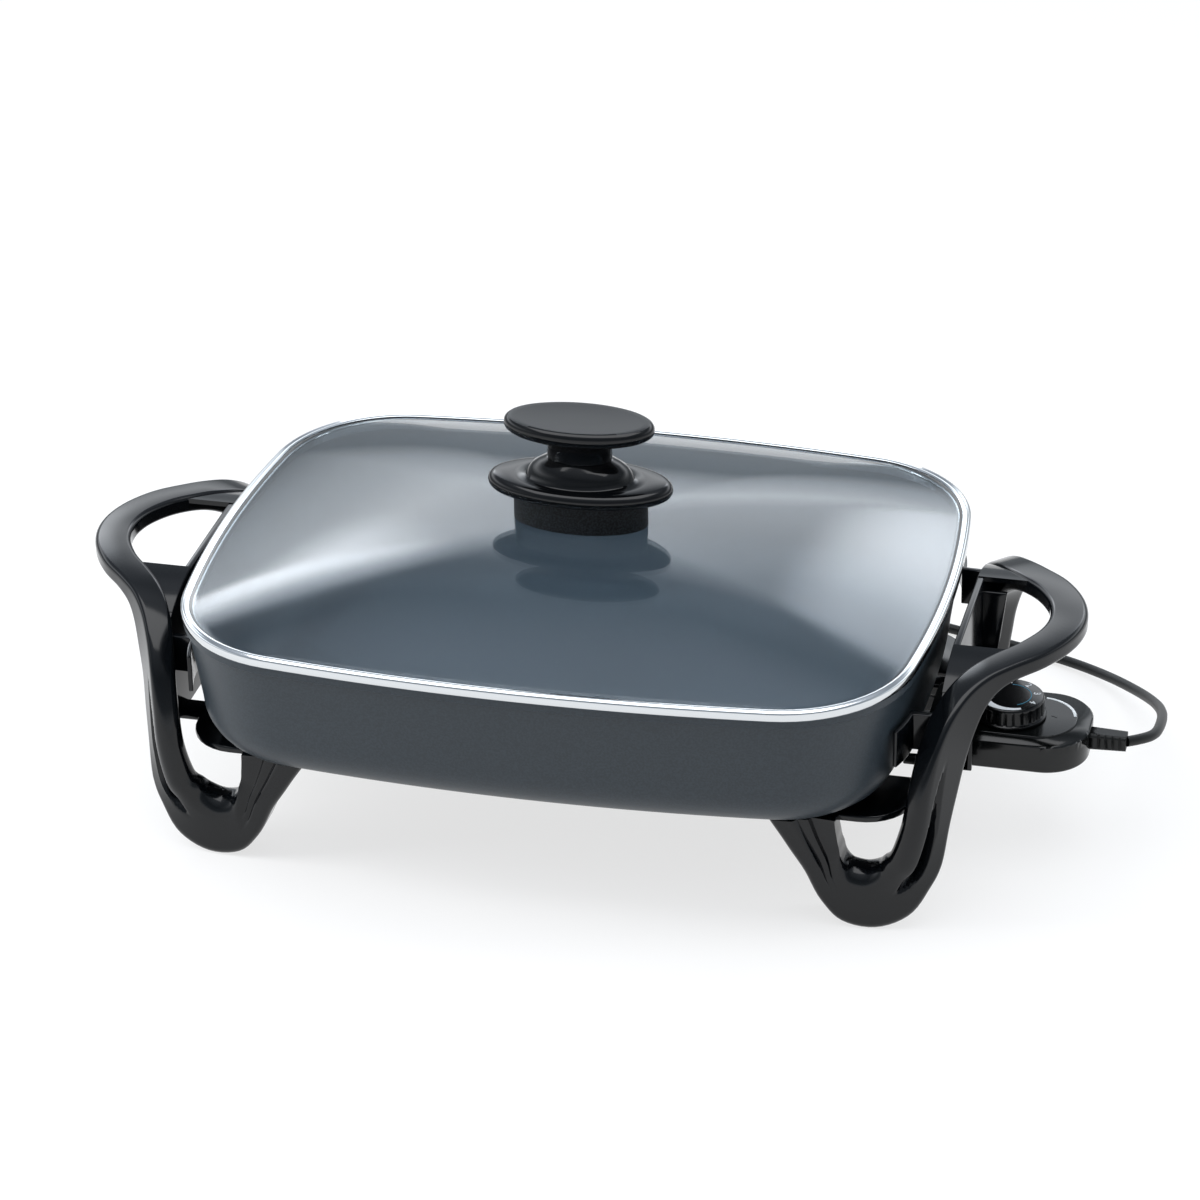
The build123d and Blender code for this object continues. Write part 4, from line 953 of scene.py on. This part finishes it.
# %% [markdown]
# ## Lens and pointer on the deck
#
# Behind a slim curved strip of white plastic a lamp shows that the pan is heating, and a small raised triangle
# marks the setting. A texture could draw both. They are thin plates instead, because they are real steps in
# the surface and catch the light on their edges.

# %% Lens and pointer
DECK_Z = 76.7
LENS_PLACE = (261.0, 1.0)
LENS_RADIUS = 20.4
LENS_HALF = 0.8
LENS_TURNS = (8, 86)
LENS_STEPS = 20
LENS_SUNK = 3.0
LENS_HEIGHT = 3.15
POINTER = ((268.0, 2.0), (271.4, 0.6), (271.4, 3.4))
POINTER_SUNK = 0.5
POINTER_HEIGHT = 0.7

lens_outline = arc(LENS_PLACE, LENS_RADIUS + LENS_HALF, *LENS_TURNS, steps=LENS_STEPS)
lens_outline += arc(LENS_PLACE, LENS_RADIUS - LENS_HALF, *LENS_TURNS[::-1], steps=LENS_STEPS)
lens = plate("pilot_lens_strip", [(x, y, DECK_Z - LENS_SUNK) for x, y in lens_outline], (0, 0, LENS_HEIGHT),
             bevel=0.1)
place(lens, "heat_control", "lens", ["pilot_lens"])

pointer = plate("dial_pointer", [(x, y, DECK_Z - POINTER_SUNK) for x, y in POINTER], (0, 0, POINTER_HEIGHT))
place(pointer, "heat_control", "dial_plastic")

# %% [markdown]
# ## Dial
#
# The dial is a round cap with a slim flange at its foot and two dozen shallow flutes for the fingers. An array
# of cutters could carve them. In a skin it is enough that a ring dips by a third of a millimetre between the
# flutes, and the dips die out under the rounded top edge because the rings above have none.

# %% Dial
DIAL_X = 245.0
DIAL_RADIUS = 19.2
FLANGE_RADIUS = 20.5
FLUTES = 24
FLUTE_DIP = 0.35
POINTS_PER_FLUTE = 8

dial_low, dial_top = (corner[2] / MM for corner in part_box("dial"))


def fluted(radius, z, dip=0.0):
    """A ring round the dial's axis that dips inwards at each flute."""
    ring = []
    for step in range(FLUTES * POINTS_PER_FLUTE):
        turn = 2 * math.pi * step / (FLUTES * POINTS_PER_FLUTE)
        reach = radius - dip * (0.5 + 0.5 * math.cos(FLUTES * turn)) ** 2
        ring.append((DIAL_X + reach * math.cos(turn), reach * math.sin(turn), z))
    return ring


dial_rings = [
    fluted(6, dial_low), fluted(FLANGE_RADIUS - 0.3, dial_low), fluted(FLANGE_RADIUS, dial_low + 0.3),
    fluted(FLANGE_RADIUS, dial_low + 1.3), fluted(FLANGE_RADIUS - 0.4, dial_low + 1.7),
    fluted(DIAL_RADIUS + 0.2, dial_low + 1.9), fluted(DIAL_RADIUS, dial_low + 2.4, FLUTE_DIP),
    fluted(DIAL_RADIUS - 0.1, dial_top - 2.4, FLUTE_DIP), fluted(DIAL_RADIUS - 0.1, dial_top - 1.4),
    fluted(DIAL_RADIUS - 0.4, dial_top - 0.6), fluted(DIAL_RADIUS - 0.9, dial_top - 0.15),
    fluted(DIAL_RADIUS - 1.6, dial_top), fluted(10, dial_top),
]
dial_body = skin("dial_body", dial_rings, smooth=35)
place(dial_body, "dial", "dial_plastic", ["dial"])

# %% [markdown]
# ## Print on the dial
#
# Numerals stand round the rim, with a pale wedge that shows the low end and a thin coloured arc. On the real
# dial they are printed in ink. A painted texture would need an image, so they are text and thin plates, a
# tenth of a millimetre proud, and they turn with the dial.

# %% Numerals
PRINT_THICK = 0.12
NUMERAL_HEIGHT = 4.2
FONT_SIZE_PER_HEIGHT = 1.3
NUMERAL_RADIUS = 14.9
NUMERAL_BOLD = 0.1
SETTINGS = ("4", "3", "2", "1")
FIRST_TURN = -24.0
TURN_STEP = 40.0

numerals = []
for number, words in enumerate(SETTINGS):
    turn = math.radians(FIRST_TURN + number * TURN_STEP)
    bpy.ops.object.text_add()
    text = bpy.context.object
    text.data.body = words
    text.data.size = NUMERAL_HEIGHT * MM * FONT_SIZE_PER_HEIGHT
    text.data.align_x = "CENTER"
    text.data.align_y = "CENTER"
    text.data.extrude = PRINT_THICK * MM
    text.data.offset = NUMERAL_BOLD * MM
    bpy.ops.object.convert(target="MESH")
    at = Vector((DIAL_X + NUMERAL_RADIUS * math.cos(turn), NUMERAL_RADIUS * math.sin(turn), dial_top)) * MM
    text.matrix_world = Matrix.Translation(at) @ Matrix.Rotation(turn - math.pi / 2, 4, "Z")
    numerals.append(text)
print("numerals", SETTINGS)

# %% [markdown]
# Four numerals are one print, so they become one object. The place and turn of each are applied to its mesh,
# because every finished piece here has its object at the origin.

# %% Join the numerals, with their places in the mesh
bpy.ops.object.select_all(action="DESELECT")
for text in numerals:
    text.select_set(True)
bpy.context.view_layer.objects.active = numerals[0]
bpy.ops.object.join()
bpy.ops.object.transform_apply()
dial_numerals = bpy.context.object
dial_numerals.name = "dial_numerals"
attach(dial_numerals, "dial")
print("numeral faces", len(dial_numerals.data.polygons))

# %% [markdown]
# The wedge is a pale field that widens towards the low end of the scale. Its outline is an arc outside and a
# spiral inside, which no primitive has, so the spiral's points are worked out and the two make one plate.

# %% Pale wedge
PRINT_SUNK = 0.1
WEDGE_STEPS = 18
WEDGE_TURNS = (165, 300)
WEDGE_OUTER = 17.4
WEDGE_INNER = 15.6
WEDGE_WIDENS = 4.4

wedge_inner = []
for step in range(WEDGE_STEPS + 1):
    turn = math.radians(WEDGE_TURNS[1] - (WEDGE_TURNS[1] - WEDGE_TURNS[0]) * step / WEDGE_STEPS)
    reach = WEDGE_INNER - WEDGE_WIDENS * step / WEDGE_STEPS
    wedge_inner.append((DIAL_X + reach * math.cos(turn), reach * math.sin(turn)))
wedge_outline = arc((DIAL_X, 0), WEDGE_OUTER, *WEDGE_TURNS, steps=WEDGE_STEPS) + wedge_inner
wedge = plate("dial_wedge", [(x, y, dial_top - PRINT_SUNK) for x, y in wedge_outline],
              (0, 0, PRINT_SUNK + PRINT_THICK))
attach(wedge, "dial")

# %% [markdown]
# The arc is a hair line in blue ink, inside the numerals. It could be a curve with a bevel. As a plate it gets
# the same thickness as the rest of the print.

# %% Blue arc
ARC_RADII = (12.0, 11.6)
ARC_TURNS = (-62, 92)
ARC_STEPS = 24

arc_outline = arc((DIAL_X, 0), ARC_RADII[0], *ARC_TURNS, steps=ARC_STEPS)
arc_outline += arc((DIAL_X, 0), ARC_RADII[1], *ARC_TURNS[::-1], steps=ARC_STEPS)
dial_arc = plate("dial_arc", [(x, y, dial_top - PRINT_SUNK) for x, y in arc_outline],
                 (0, 0, PRINT_SUNK + PRINT_THICK))
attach(dial_arc, "dial")

# %% [markdown]
# ## Cord
#
# A short rubber lead leaves the control through its strain relief, turns back beside the handle, drops to the
# table and runs behind the pan, where its spare length is wound in two turns held by a tie. It could be a
# swept mesh. One NURBS curve is lighter, and stays even in thickness. It passes near listed points, and
# the turns of the coil are worked out.

# %% Route of the cord
CORD = 6.0
CORD_Z = 3.4
COIL_MIDDLE = (66.0, 276.0)
COIL_RADIUS = 33.0
COIL_LOW_Z = 3.9
COIL_HIGH_Z = 9.9
COIL_TURNS = 2
TURN_POINTS = 16
COIL_CLIMB = (0.8, 1.05)  # the cord climbs over its first turn between these turns
ROUTE = (
    (311, 0, 66.5), (317.4, 5, 65.7), (324.7, 16.6, 63), (325.1, 39.5, 56.4), (322.4, 74.8, 43.6),
    (314.8, 109.7, 29.7), (300.8, 143.1, 17.2), (279.4, 173.5, 8.2), (251.3, 195.1, 4.1), (217, 208, CORD_Z),
    (181, 220, CORD_Z), (145, 230, CORD_Z), (110, 240, CORD_Z), (90, 243, CORD_Z),
)
TAIL = ((54, 243, 9.9), (40, 243, 9.6), (24, 243, 7), (4, 243, 7))

coil = []
for step in range(COIL_TURNS * TURN_POINTS + 1):
    turn = -math.pi / 2 - 2 * math.pi * step / TURN_POINTS
    climbed = (COIL_HIGH_Z - COIL_LOW_Z) * rise(step / TURN_POINTS, *COIL_CLIMB)
    coil.append((COIL_MIDDLE[0] + COIL_RADIUS * math.cos(turn), COIL_MIDDLE[1] + COIL_RADIUS * math.sin(turn),
                 COIL_LOW_Z + climbed))
cord_points = [*ROUTE, *coil, *TAIL]
print("cord points", len(cord_points))

# %% [markdown]
# The curve's own bevel gives it its thickness, and every point carries the same radius. Its first point lies
# in the strain relief and its last one in the plug, so that no end is seen.

# %% Cord
line = bpy.data.curves.new("power_cord", "CURVE")
line.dimensions = "3D"
line.bevel_depth = 1.0  # the points' own radius sets the thickness
line.bevel_resolution = 5
line.resolution_u = 8
line.use_fill_caps = True
spline = line.splines.new("NURBS")
spline.points.add(len(cord_points) - 1)
for point, at in zip(spline.points, cord_points):
    point.co = (*(Vector(at) * MM), 1)
    point.radius = CORD / 2 * MM
spline.order_u = 3
spline.use_endpoint_u = True
power_cord = bpy.data.objects.new("power_cord", line)
bpy.context.collection.objects.link(power_cord)
place(power_cord, "heat_control", "cord_rubber", ["cord", "cord_coil", "cord_tail"])
print("cord laid from", ROUTE[0], "to", TAIL[-1])

# %% [markdown]
# ## Finishes
#
# Each finish starts from what the real surface is and how it was made. A colour that is the same all over is
# set on the shader's own socket. Only what changes over the surface is drawn by nodes. One function turns the
# hex colour that a designer would write into the linear values that a shader needs. Another adds a node with
# its settings and links, so that each recipe reads from top to bottom.

# %% Tools for materials


def linear(code):
    """Linear colour of an sRGB hex value."""
    parts = [int(code[at:at + 2], 16) / 255 for at in (1, 3, 5)]
    return (*[part / 12.92 if part <= 0.04045 else ((part + 0.055) / 1.055) ** 2.4 for part in parts], 1.0)


def node(tree, kind, links=(), fixed=(), **settings):
    """Adds a node. Settings are properties or sockets by name, fixed are (socket number, value) pairs, and
    links are (socket, source node, its output)."""
    made = tree.nodes.new(kind)
    for key, value in settings.items():
        if key in made.inputs:
            made.inputs[key].default_value = value
        else:
            setattr(made, key, value)
    for socket, value in fixed:
        made.inputs[socket].default_value = value
    for socket, source, output in links:
        tree.links.new(source.outputs[output], made.inputs[socket])
    return made


def shader_of(material):
    """The Principled shader of a material."""
    return material.node_tree.nodes["Principled BSDF"]


def finish(name, colour, **sockets):
    """A material on the Principled shader, its fixed values on the shader's own sockets."""
    material = bpy.data.materials.new(name)
    material.use_nodes = True
    shader_of(material).inputs["Base Color"].default_value = linear(colour)
    for key, value in sockets.items():
        shader_of(material).inputs[key.replace("_", " ")].default_value = value
    return material


print("middle grey is", round(linear("#808080")[0], 3), "in linear light")

# %% [markdown]
# ## Black mouldings
#
# Frames and knob are phenolic resin, pressed hot in a polished steel mould. The control is a thermoplastic,
# moulded in a plainer tool. All are nearly black, so what the eye sees is their reflections, and the
# roughness matters more than the colour. The IOR is a little below that of the bulk resin, because handling
# dulls the skin.

# %% Black mouldings
# Polished resin: a deep black with hard, clear reflections.
phenolic = finish("polished_phenolic", "#07090c", Roughness=0.13, IOR=1.42)
# The same resin from a brushed part of the mould: the tops of the handles show a soft grey sheen.
satin_phenolic = finish("satin_phenolic", "#12151a", Roughness=0.38, IOR=1.5)
# The knob's mould is finer still, and its edges show thin bright lines.
knob_black = finish("polished_knob_phenolic", "#07080a", Roughness=0.09, IOR=1.42)
# The top of the cap is satin, so that a finger doesn't slip: an even grey.
satin_knob = finish("satin_knob_phenolic", "#0c0f12", Roughness=0.4, IOR=1.5)
# Thermoplastic from a plain mould: black, and a little softer in its highlights than the resin.
control_black = finish("moulded_control_plastic", "#060808", Roughness=0.15, IOR=1.42)
# The dial is handled most, and its polish is worn: reflections blur.
dial_black = finish("polished_dial_plastic", "#050607", Roughness=0.2, IOR=1.42)
print("black finishes", [made.name for made in (phenolic, satin_phenolic, knob_black, control_black)])

# %% [markdown]
# ## Print, metals and small parts
#
# Ink is flat and matt. Metals keep the shader's default IOR and take all their colour from the reflection.
# Inside the object there are brass, ceramic and mica, which are seen only when it is taken apart.

# %% Print and lens
# Pad-printed white ink: matt, and not quite white, so that it doesn't glow.
print_white = finish("white_print", "#d9dee2", Roughness=0.5)
# Pad-printed blue ink, thin enough for the black below to darken it.
print_blue = finish("blue_print", "#2f7f9c", Roughness=0.5)
# Milky acrylic: an even white that looks lit even when the lamp is off.
lens_white = finish("translucent_lens", "#e8edef", Roughness=0.25)
print("print and lens", [made.name for made in (print_white, print_blue, lens_white)])

# %% [markdown]
# Bare metal has no colour of its own below the reflection, so its base colour is the tint of that reflection.
# The roughness tells a rolled strip from a drawn wire.

# %% Metals and small parts
# Bright-rolled stainless steel: a near mirror that shows the white floor and the dark wall as clean lines.
band_steel = finish("rolled_bright_steel", "#d9dcde", Metallic=1.0, Roughness=0.1)
# Drawn steel of the probe, pins and screws: grey, with broad highlights.
plain_steel = finish("drawn_steel", "#a7a9a8", Metallic=1.0, Roughness=0.35)
# Stamped brass of the plug's blades: warm yellow, slightly dulled.
brass = finish("stamped_brass", "#c8a45a", Metallic=1.0, Roughness=0.3)
# Fired ceramic: off-white and quite matt.
ceramic = finish("fired_ceramic", "#e2dccd", Roughness=0.7)
# Rubber of the cord: black and soft, with no clear reflection.
rubber = finish("cord_rubber", "#0a0c0c", Roughness=0.45, IOR=1.4)
# Flexible vinyl of the tie and the seal: dull dark grey.
tie_plastic = finish("tie_plastic", "#101214", Roughness=0.5)
# Pressed mica of the thermostat's plate: matt tan.
mica_board = finish("pressed_mica", "#bda980", Roughness=0.7)
# Amber glass of the pilot lamp: warm and shiny.
lamp_glass = finish("lamp_glass", "#f0a060", Roughness=0.1)
print("metals", [made.name for made in (band_steel, plain_steel, brass)])

# %% [markdown]
# ## Grained finishes
#
# The pan's coating is sprayed on cast aluminium and baked, which leaves an orange peel 1.2 mm across. The
# knob's seat comes from a spark-eroded mould. Its real speckle is about a fifth of a millimetre, too fine to
# show, so it is drawn a millimetre across. Both could be image textures. Noise in the piece's own coordinates
# has a true size and needs no unwrapping.

# %% Grain
GRAIN_DETAIL = 2.0
GRAIN_EDGES = (0.4, 0.62)
BUMP_HEIGHT = 0.1


def grain(material, size_mm, depth, light, dark):
    """Fine speckle: noise whose grains are size_mm across drives colour and bump."""
    tree = material.node_tree
    where = node(tree, "ShaderNodeTexCoord")
    noise = node(tree, "ShaderNodeTexNoise", [("Vector", where, "Object")], Scale=1 / (size_mm * MM),
                 Detail=GRAIN_DETAIL)
    shades = node(tree, "ShaderNodeValToRGB", [("Fac", noise, "Fac")])
    for element, edge, colour in zip(shades.color_ramp.elements, GRAIN_EDGES, (dark, light)):
        element.position = edge
        element.color = linear(colour)
    bump = node(tree, "ShaderNodeBump", [("Height", noise, "Fac")], Strength=depth, Distance=BUMP_HEIGHT * MM)
    tree.links.new(shades.outputs["Color"], shader_of(material).inputs["Base Color"])
    tree.links.new(bump.outputs["Normal"], shader_of(material).inputs["Normal"])


print("grain stands", BUMP_HEIGHT, "mm proud at full strength")

# %% [markdown]
# Three surfaces differ: sprayed and baked; the same coating inside the pan, painted lighter as painted light;
# and moulded against a rough steel. The first and the last get grain, the second is even.

# %% Coatings and seat
# Sprayed non-stick coating: a dark blue grey. Its orange peel is hardly seen, and only softens the highlights.
coating = finish("non_stick_coating", "#252e35", Roughness=0.4, IOR=1.45)
grain(coating, 1.2, 0.12, "#283138", "#222a30")
# The pan's inside is the same coating, painted lighter and even: painted light for the overhead light and soft
# sheen it catches, so the pan's inside reads as deep.
inside_painted_light = finish("inside_coating_painted_lighter", "#56606a", Roughness=0.45, IOR=1.45)
# Spark-eroded resin: matt, with a speckle, drawn coarser than it is, that breaks up every reflection.
seat_black = finish("moulded_seat_phenolic", "#0a0c0e", Roughness=0.55, IOR=1.3)
grain(seat_black, 1.0, 0.5, "#1c2024", "#050607")
print("grained finishes", coating.name, seat_black.name)

# %% [markdown]
# ## Glass
#
# The lid is tempered soda glass, a little grey. The Glass shader alone would do for the eye, but a refracting
# shader stops the light of lamps, and the inside of the pan would stay dark. So rays towards lamps meet a
# clear film instead, and the inside is lit as it would be.

# %% Glass
# Tempered soda glass: clear in the middle, and a mirror for the bright wall where it is seen at a low angle.
clear_glass = finish("tempered_glass", "#c9d0d4", Roughness=0.02, IOR=1.5)
shader_of(clear_glass).inputs["Transmission Weight"].default_value = 1.0
tree = clear_glass.node_tree
paths = node(tree, "ShaderNodeLightPath")
film = node(tree, "ShaderNodeBsdfTransparent", Color=linear("#dfe4e6"))
mixed = node(tree, "ShaderNodeMixShader", [("Fac", paths, "Is Shadow Ray"), (1, shader_of(clear_glass), "BSDF"),
                                           (2, film, "BSDF")])
tree.links.new(mixed.outputs["Shader"], tree.nodes["Material Output"].inputs["Surface"])
print("glass nodes", len(tree.nodes))

# %% [markdown]
# ## Which piece has which finish
#
# Every piece and every solid already names a slot, so one table dresses them all. Four small pieces have a
# finish of their own.

# %% Dress the pieces
SLOT_FINISHES = {
    "pan_coating": coating, "phenolic": phenolic, "knob_plastic": knob_black, "control_plastic": control_black,
    "dial_plastic": dial_black, "lens": lens_white, "lid_steel": band_steel, "steel": plain_steel,
    "brass": brass, "ceramic": ceramic, "cord_rubber": rubber, "tie": tie_plastic, "mica": mica_board,
    "lamp": lamp_glass, "lid_glass": clear_glass, "seal": tie_plastic,
}
OWN_FINISHES = {"knob_seat_block": seat_black, "dial_numerals": print_white, "dial_wedge": print_white,
                "dial_arc": print_blue}


def dress(piece, material):
    """Gives the whole piece one material."""
    piece.data.materials.clear()
    piece.data.materials.append(material)


node_slots = {entry["node"]: entry["material_slot"] for entry in frame["record"]["subparts"]}
for name, piece in frame["nodes"].items():
    dress(piece, SLOT_FINISHES[node_slots[name]])
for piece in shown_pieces():
    if piece.name in OWN_FINISHES:
        dress(piece, OWN_FINISHES[piece.name])
    elif piece.get("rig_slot") in SLOT_FINISHES:
        dress(piece, SLOT_FINISHES[piece["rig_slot"]])
print("slots with a finish", len(SLOT_FINISHES), "and pieces with their own", len(OWN_FINISHES))

# %% [markdown]
# Four pieces have two finishes: both handles and the cap are satin on top, and the pan's inside is painted
# lighter, as painted light for the light and sheen it catches. Each could be split in two, but then a seam would
# show. A second material on the faces that are found by their normal and place leaves the mesh whole.

# %% Second finishes
LEVEL_ENOUGH = 0.96
HANDLE_TOP_ABOVE = 134.0
CAP_TOP_DEPTH = 1.0
INSIDE_LEVEL = 0.2


def satin_top(piece, material, above_z):
    """The upward faces above a height get a second finish."""
    piece.data.materials.append(material)
    for face in piece.data.polygons:
        if face.normal.z > LEVEL_ENOUGH and face.center.z > above_z * MM:
            face.material_index = 1


for name, side in SIDES:
    satin_top(bpy.data.objects[f"{name}_frame_bar"], satin_phenolic, HANDLE_TOP_ABOVE)
satin_top(cap, satin_knob, cap_high - CAP_TOP_DEPTH)
# The upward faces and the faces towards the middle take the lighter colour: painted light inside the pan.
pan_body.data.materials.append(inside_painted_light)
for face in pan_body.data.polygons:
    towards_middle = face.normal.x * face.center.x + face.normal.y * face.center.y < 0
    if face.normal.z > INSIDE_LEVEL or towards_middle:
        face.material_index = 1
print("cooking faces", sum(face.material_index for face in pan_body.data.polygons))

# %% [markdown]
# ## Floor
#
# The skillet stands on white paper, as in a catalogue. A bright lamp could whiten the floor, but it would
# bleach the object too. So the floor itself is pale, and for the camera, and for rays that steel and glass
# send to it, most of its colour is a plain white that no shadow darkens. The rest keeps a soft shadow.

# %% Floor
FLOOR_SIZE = 12
FLOOR_WHITENESS = 0.72

bpy.ops.mesh.primitive_plane_add(size=FLOOR_SIZE, location=(0, 0, 0))
floor = bpy.context.object
floor.name = "floor"
# Matt white paper: no highlight, only light and shadow.
floor_white = finish("floor_white", "#f7f8f9", Roughness=0.9)
tree = floor_white.node_tree
rays = node(tree, "ShaderNodeLightPath")
direct = node(tree, "ShaderNodeMath", [(0, rays, "Is Camera Ray"), (1, rays, "Is Glossy Ray")],
              operation="MAXIMUM")
seen = node(tree, "ShaderNodeMath", [(0, direct, "Value"), (1, rays, "Is Transmission Ray")],
            operation="MAXIMUM")
share = node(tree, "ShaderNodeMath", [(0, seen, "Value")], [(1, FLOOR_WHITENESS)], operation="MULTIPLY")
glow = node(tree, "ShaderNodeEmission", Color=linear("#ffffff"), Strength=1.0)
mixed = node(tree, "ShaderNodeMixShader", [("Fac", share, "Value"), (1, shader_of(floor_white), "BSDF"),
                                           (2, glow, "Emission")])
tree.links.new(mixed.outputs["Shader"], tree.nodes["Material Output"].inputs["Surface"])
dress(floor, floor_white)
print("floor is", FLOOR_SIZE, "m wide")

# %% [markdown]
# ## Studio walls
#
# Black gloss and clear glass show the room more than themselves. Lamps alone would leave that room empty, and
# large lamps would draw hard white shapes in the glass. So the world is painted as a studio with soft walls.
# The far wall is bright in a belt above the horizon, which lightens the back of the lid, and falls off
# upwards, which leaves its front clear. The near side is darker and gives black gloss its depth.

# %% Steps of the walls
STUDIO_STRENGTH = 3.0
LIT_SIDE = (-0.35, 0.94, 0.0)
LIT_SPREAD = (-0.7, 0.7)
# Height above the horizon, as the sine of its angle, and brightness there.
LIT_STEPS = (
    (0.0, "#63676b"), (0.2, "#6a6e72"), (0.35, "#c8cdd2"), (0.4, "#e9edf2"), (0.47, "#d0d4d9"),
    (0.52, "#a6abb1"), (0.6, "#666b71"), (0.72, "#595e64"), (0.84, "#7a7f86"), (1.0, "#868b92"),
)
SHADED_STEPS = (
    (0.0, "#a0a3a6"), (0.05, "#94989c"), (0.16, "#5a5f64"), (0.5, "#464b50"), (1.0, "#868b92"),
)


def wall_shades(tree, height, steps):
    """Brightness of a wall with height, from the horizon to overhead."""
    shades = node(tree, "ShaderNodeValToRGB", [("Fac", height, "Z")])
    for at, colour in steps[1:-1]:
        shades.color_ramp.elements.new(at)
    for element, (at, colour) in zip(shades.color_ramp.elements, steps):
        element.position = at
        element.color = linear(colour)
    return shades


print("far wall is brightest at", max(LIT_STEPS, key=lambda step: step[1]))

# %% [markdown]
# A wall's brightness depends on height alone. Which wall a ray meets depends on how far it points to the lit
# side, so the two are blended by that. An image of a studio could be used instead, but it would be a second
# file, and its lamps would be fixed.

# %% Walls of the studio
world = bpy.data.worlds.new("studio")
bpy.context.scene.world = world
world.use_nodes = True
tree = world.node_tree
way = node(tree, "ShaderNodeTexCoord")
height = node(tree, "ShaderNodeSeparateXYZ", [("Vector", way, "Generated")])
towards = node(tree, "ShaderNodeVectorMath", [(0, way, "Generated")], [(1, LIT_SIDE)], operation="DOT_PRODUCT")
lit = node(tree, "ShaderNodeMapRange", [("Value", towards, "Value")], interpolation_type="SMOOTHSTEP",
           **{"From Min": LIT_SPREAD[0], "From Max": LIT_SPREAD[1]})
walls = node(tree, "ShaderNodeMix", [
    ("Factor", lit, "Result"), ("A", wall_shades(tree, height, SHADED_STEPS), "Color"),
    ("B", wall_shades(tree, height, LIT_STEPS), "Color"),
], data_type="RGBA")
background = tree.nodes["Background"]
tree.links.new(walls.outputs["Result"], background.inputs["Color"])
print("wall shades", len(LIT_STEPS), "and", len(SHADED_STEPS))

# %% [markdown]
# Two soft patches on the far wall, left and right, bring light to both shoulders of the lid. Each is brighter
# the nearer a ray points to its middle, so that it has no edge to be seen in the glass.

# %% Patches of light on the far wall
# The direction of each patch, and the cosines at which it starts and is full.
WALL_PATCHES = (((0.089, 0.848, 0.522), 0.988, 0.9994), ((-0.433, 0.75, 0.5), 0.985, 0.9985))
PATCH_STRENGTH = 4.5

strength = None
for direction, start_at, full_at in WALL_PATCHES:
    nearness = node(tree, "ShaderNodeVectorMath", [(0, way, "Generated")], [(1, direction)],
                    operation="DOT_PRODUCT")
    patch = node(tree, "ShaderNodeMapRange", [("Value", nearness, "Value")], interpolation_type="SMOOTHSTEP",
                 **{"From Min": start_at, "From Max": full_at})
    so_far = [(2, strength, "Value")] if strength else []
    strength = node(tree, "ShaderNodeMath", [(0, patch, "Result"), *so_far],
                    [(1, PATCH_STRENGTH), (2, STUDIO_STRENGTH)], operation="MULTIPLY_ADD")
tree.links.new(strength.outputs["Value"], background.inputs["Strength"])
print("wall patches", len(WALL_PATCHES))

# %% [markdown]
# ## Lamps
#
# A large soft lamp hangs over the skillet and two smaller ones stand beside it. A sun would be simpler, but its
# shadows are hard. The side lamps only light the object and aren't reflected: their own outlines would show as
# hard white shapes in the glass.

# %% Lamps
AIM = (0, 0, 100)
# For each lamp: name, place in millimetres, size in metres, power, and whether it is seen in reflections.
SOFTBOXES = (
    ("top_softbox", (0, -150, 2000), (2.2, 1.5), 24, True),
    ("left_softbox", (-1500, -500, 1100), (0.7, 1.2), 22, False),
    ("right_softbox", (1700, 300, 900), (0.4, 0.9), 8, False),
)

for name, stand, size, power, reflected in SOFTBOXES:
    bpy.ops.object.light_add(type="AREA", location=Vector(stand) * MM)
    lamp = bpy.context.object
    lamp.name = name
    lamp.data.shape = "RECTANGLE"
    lamp.data.size, lamp.data.size_y = size
    lamp.data.energy = power
    lamp.rotation_euler = (Vector(AIM) - Vector(stand)).to_track_quat("-Z", "Y").to_euler()
    lamp.visible_glossy = reflected
    print(name, power, "W")
bpy.context.scene.view_settings.view_transform = "Standard"
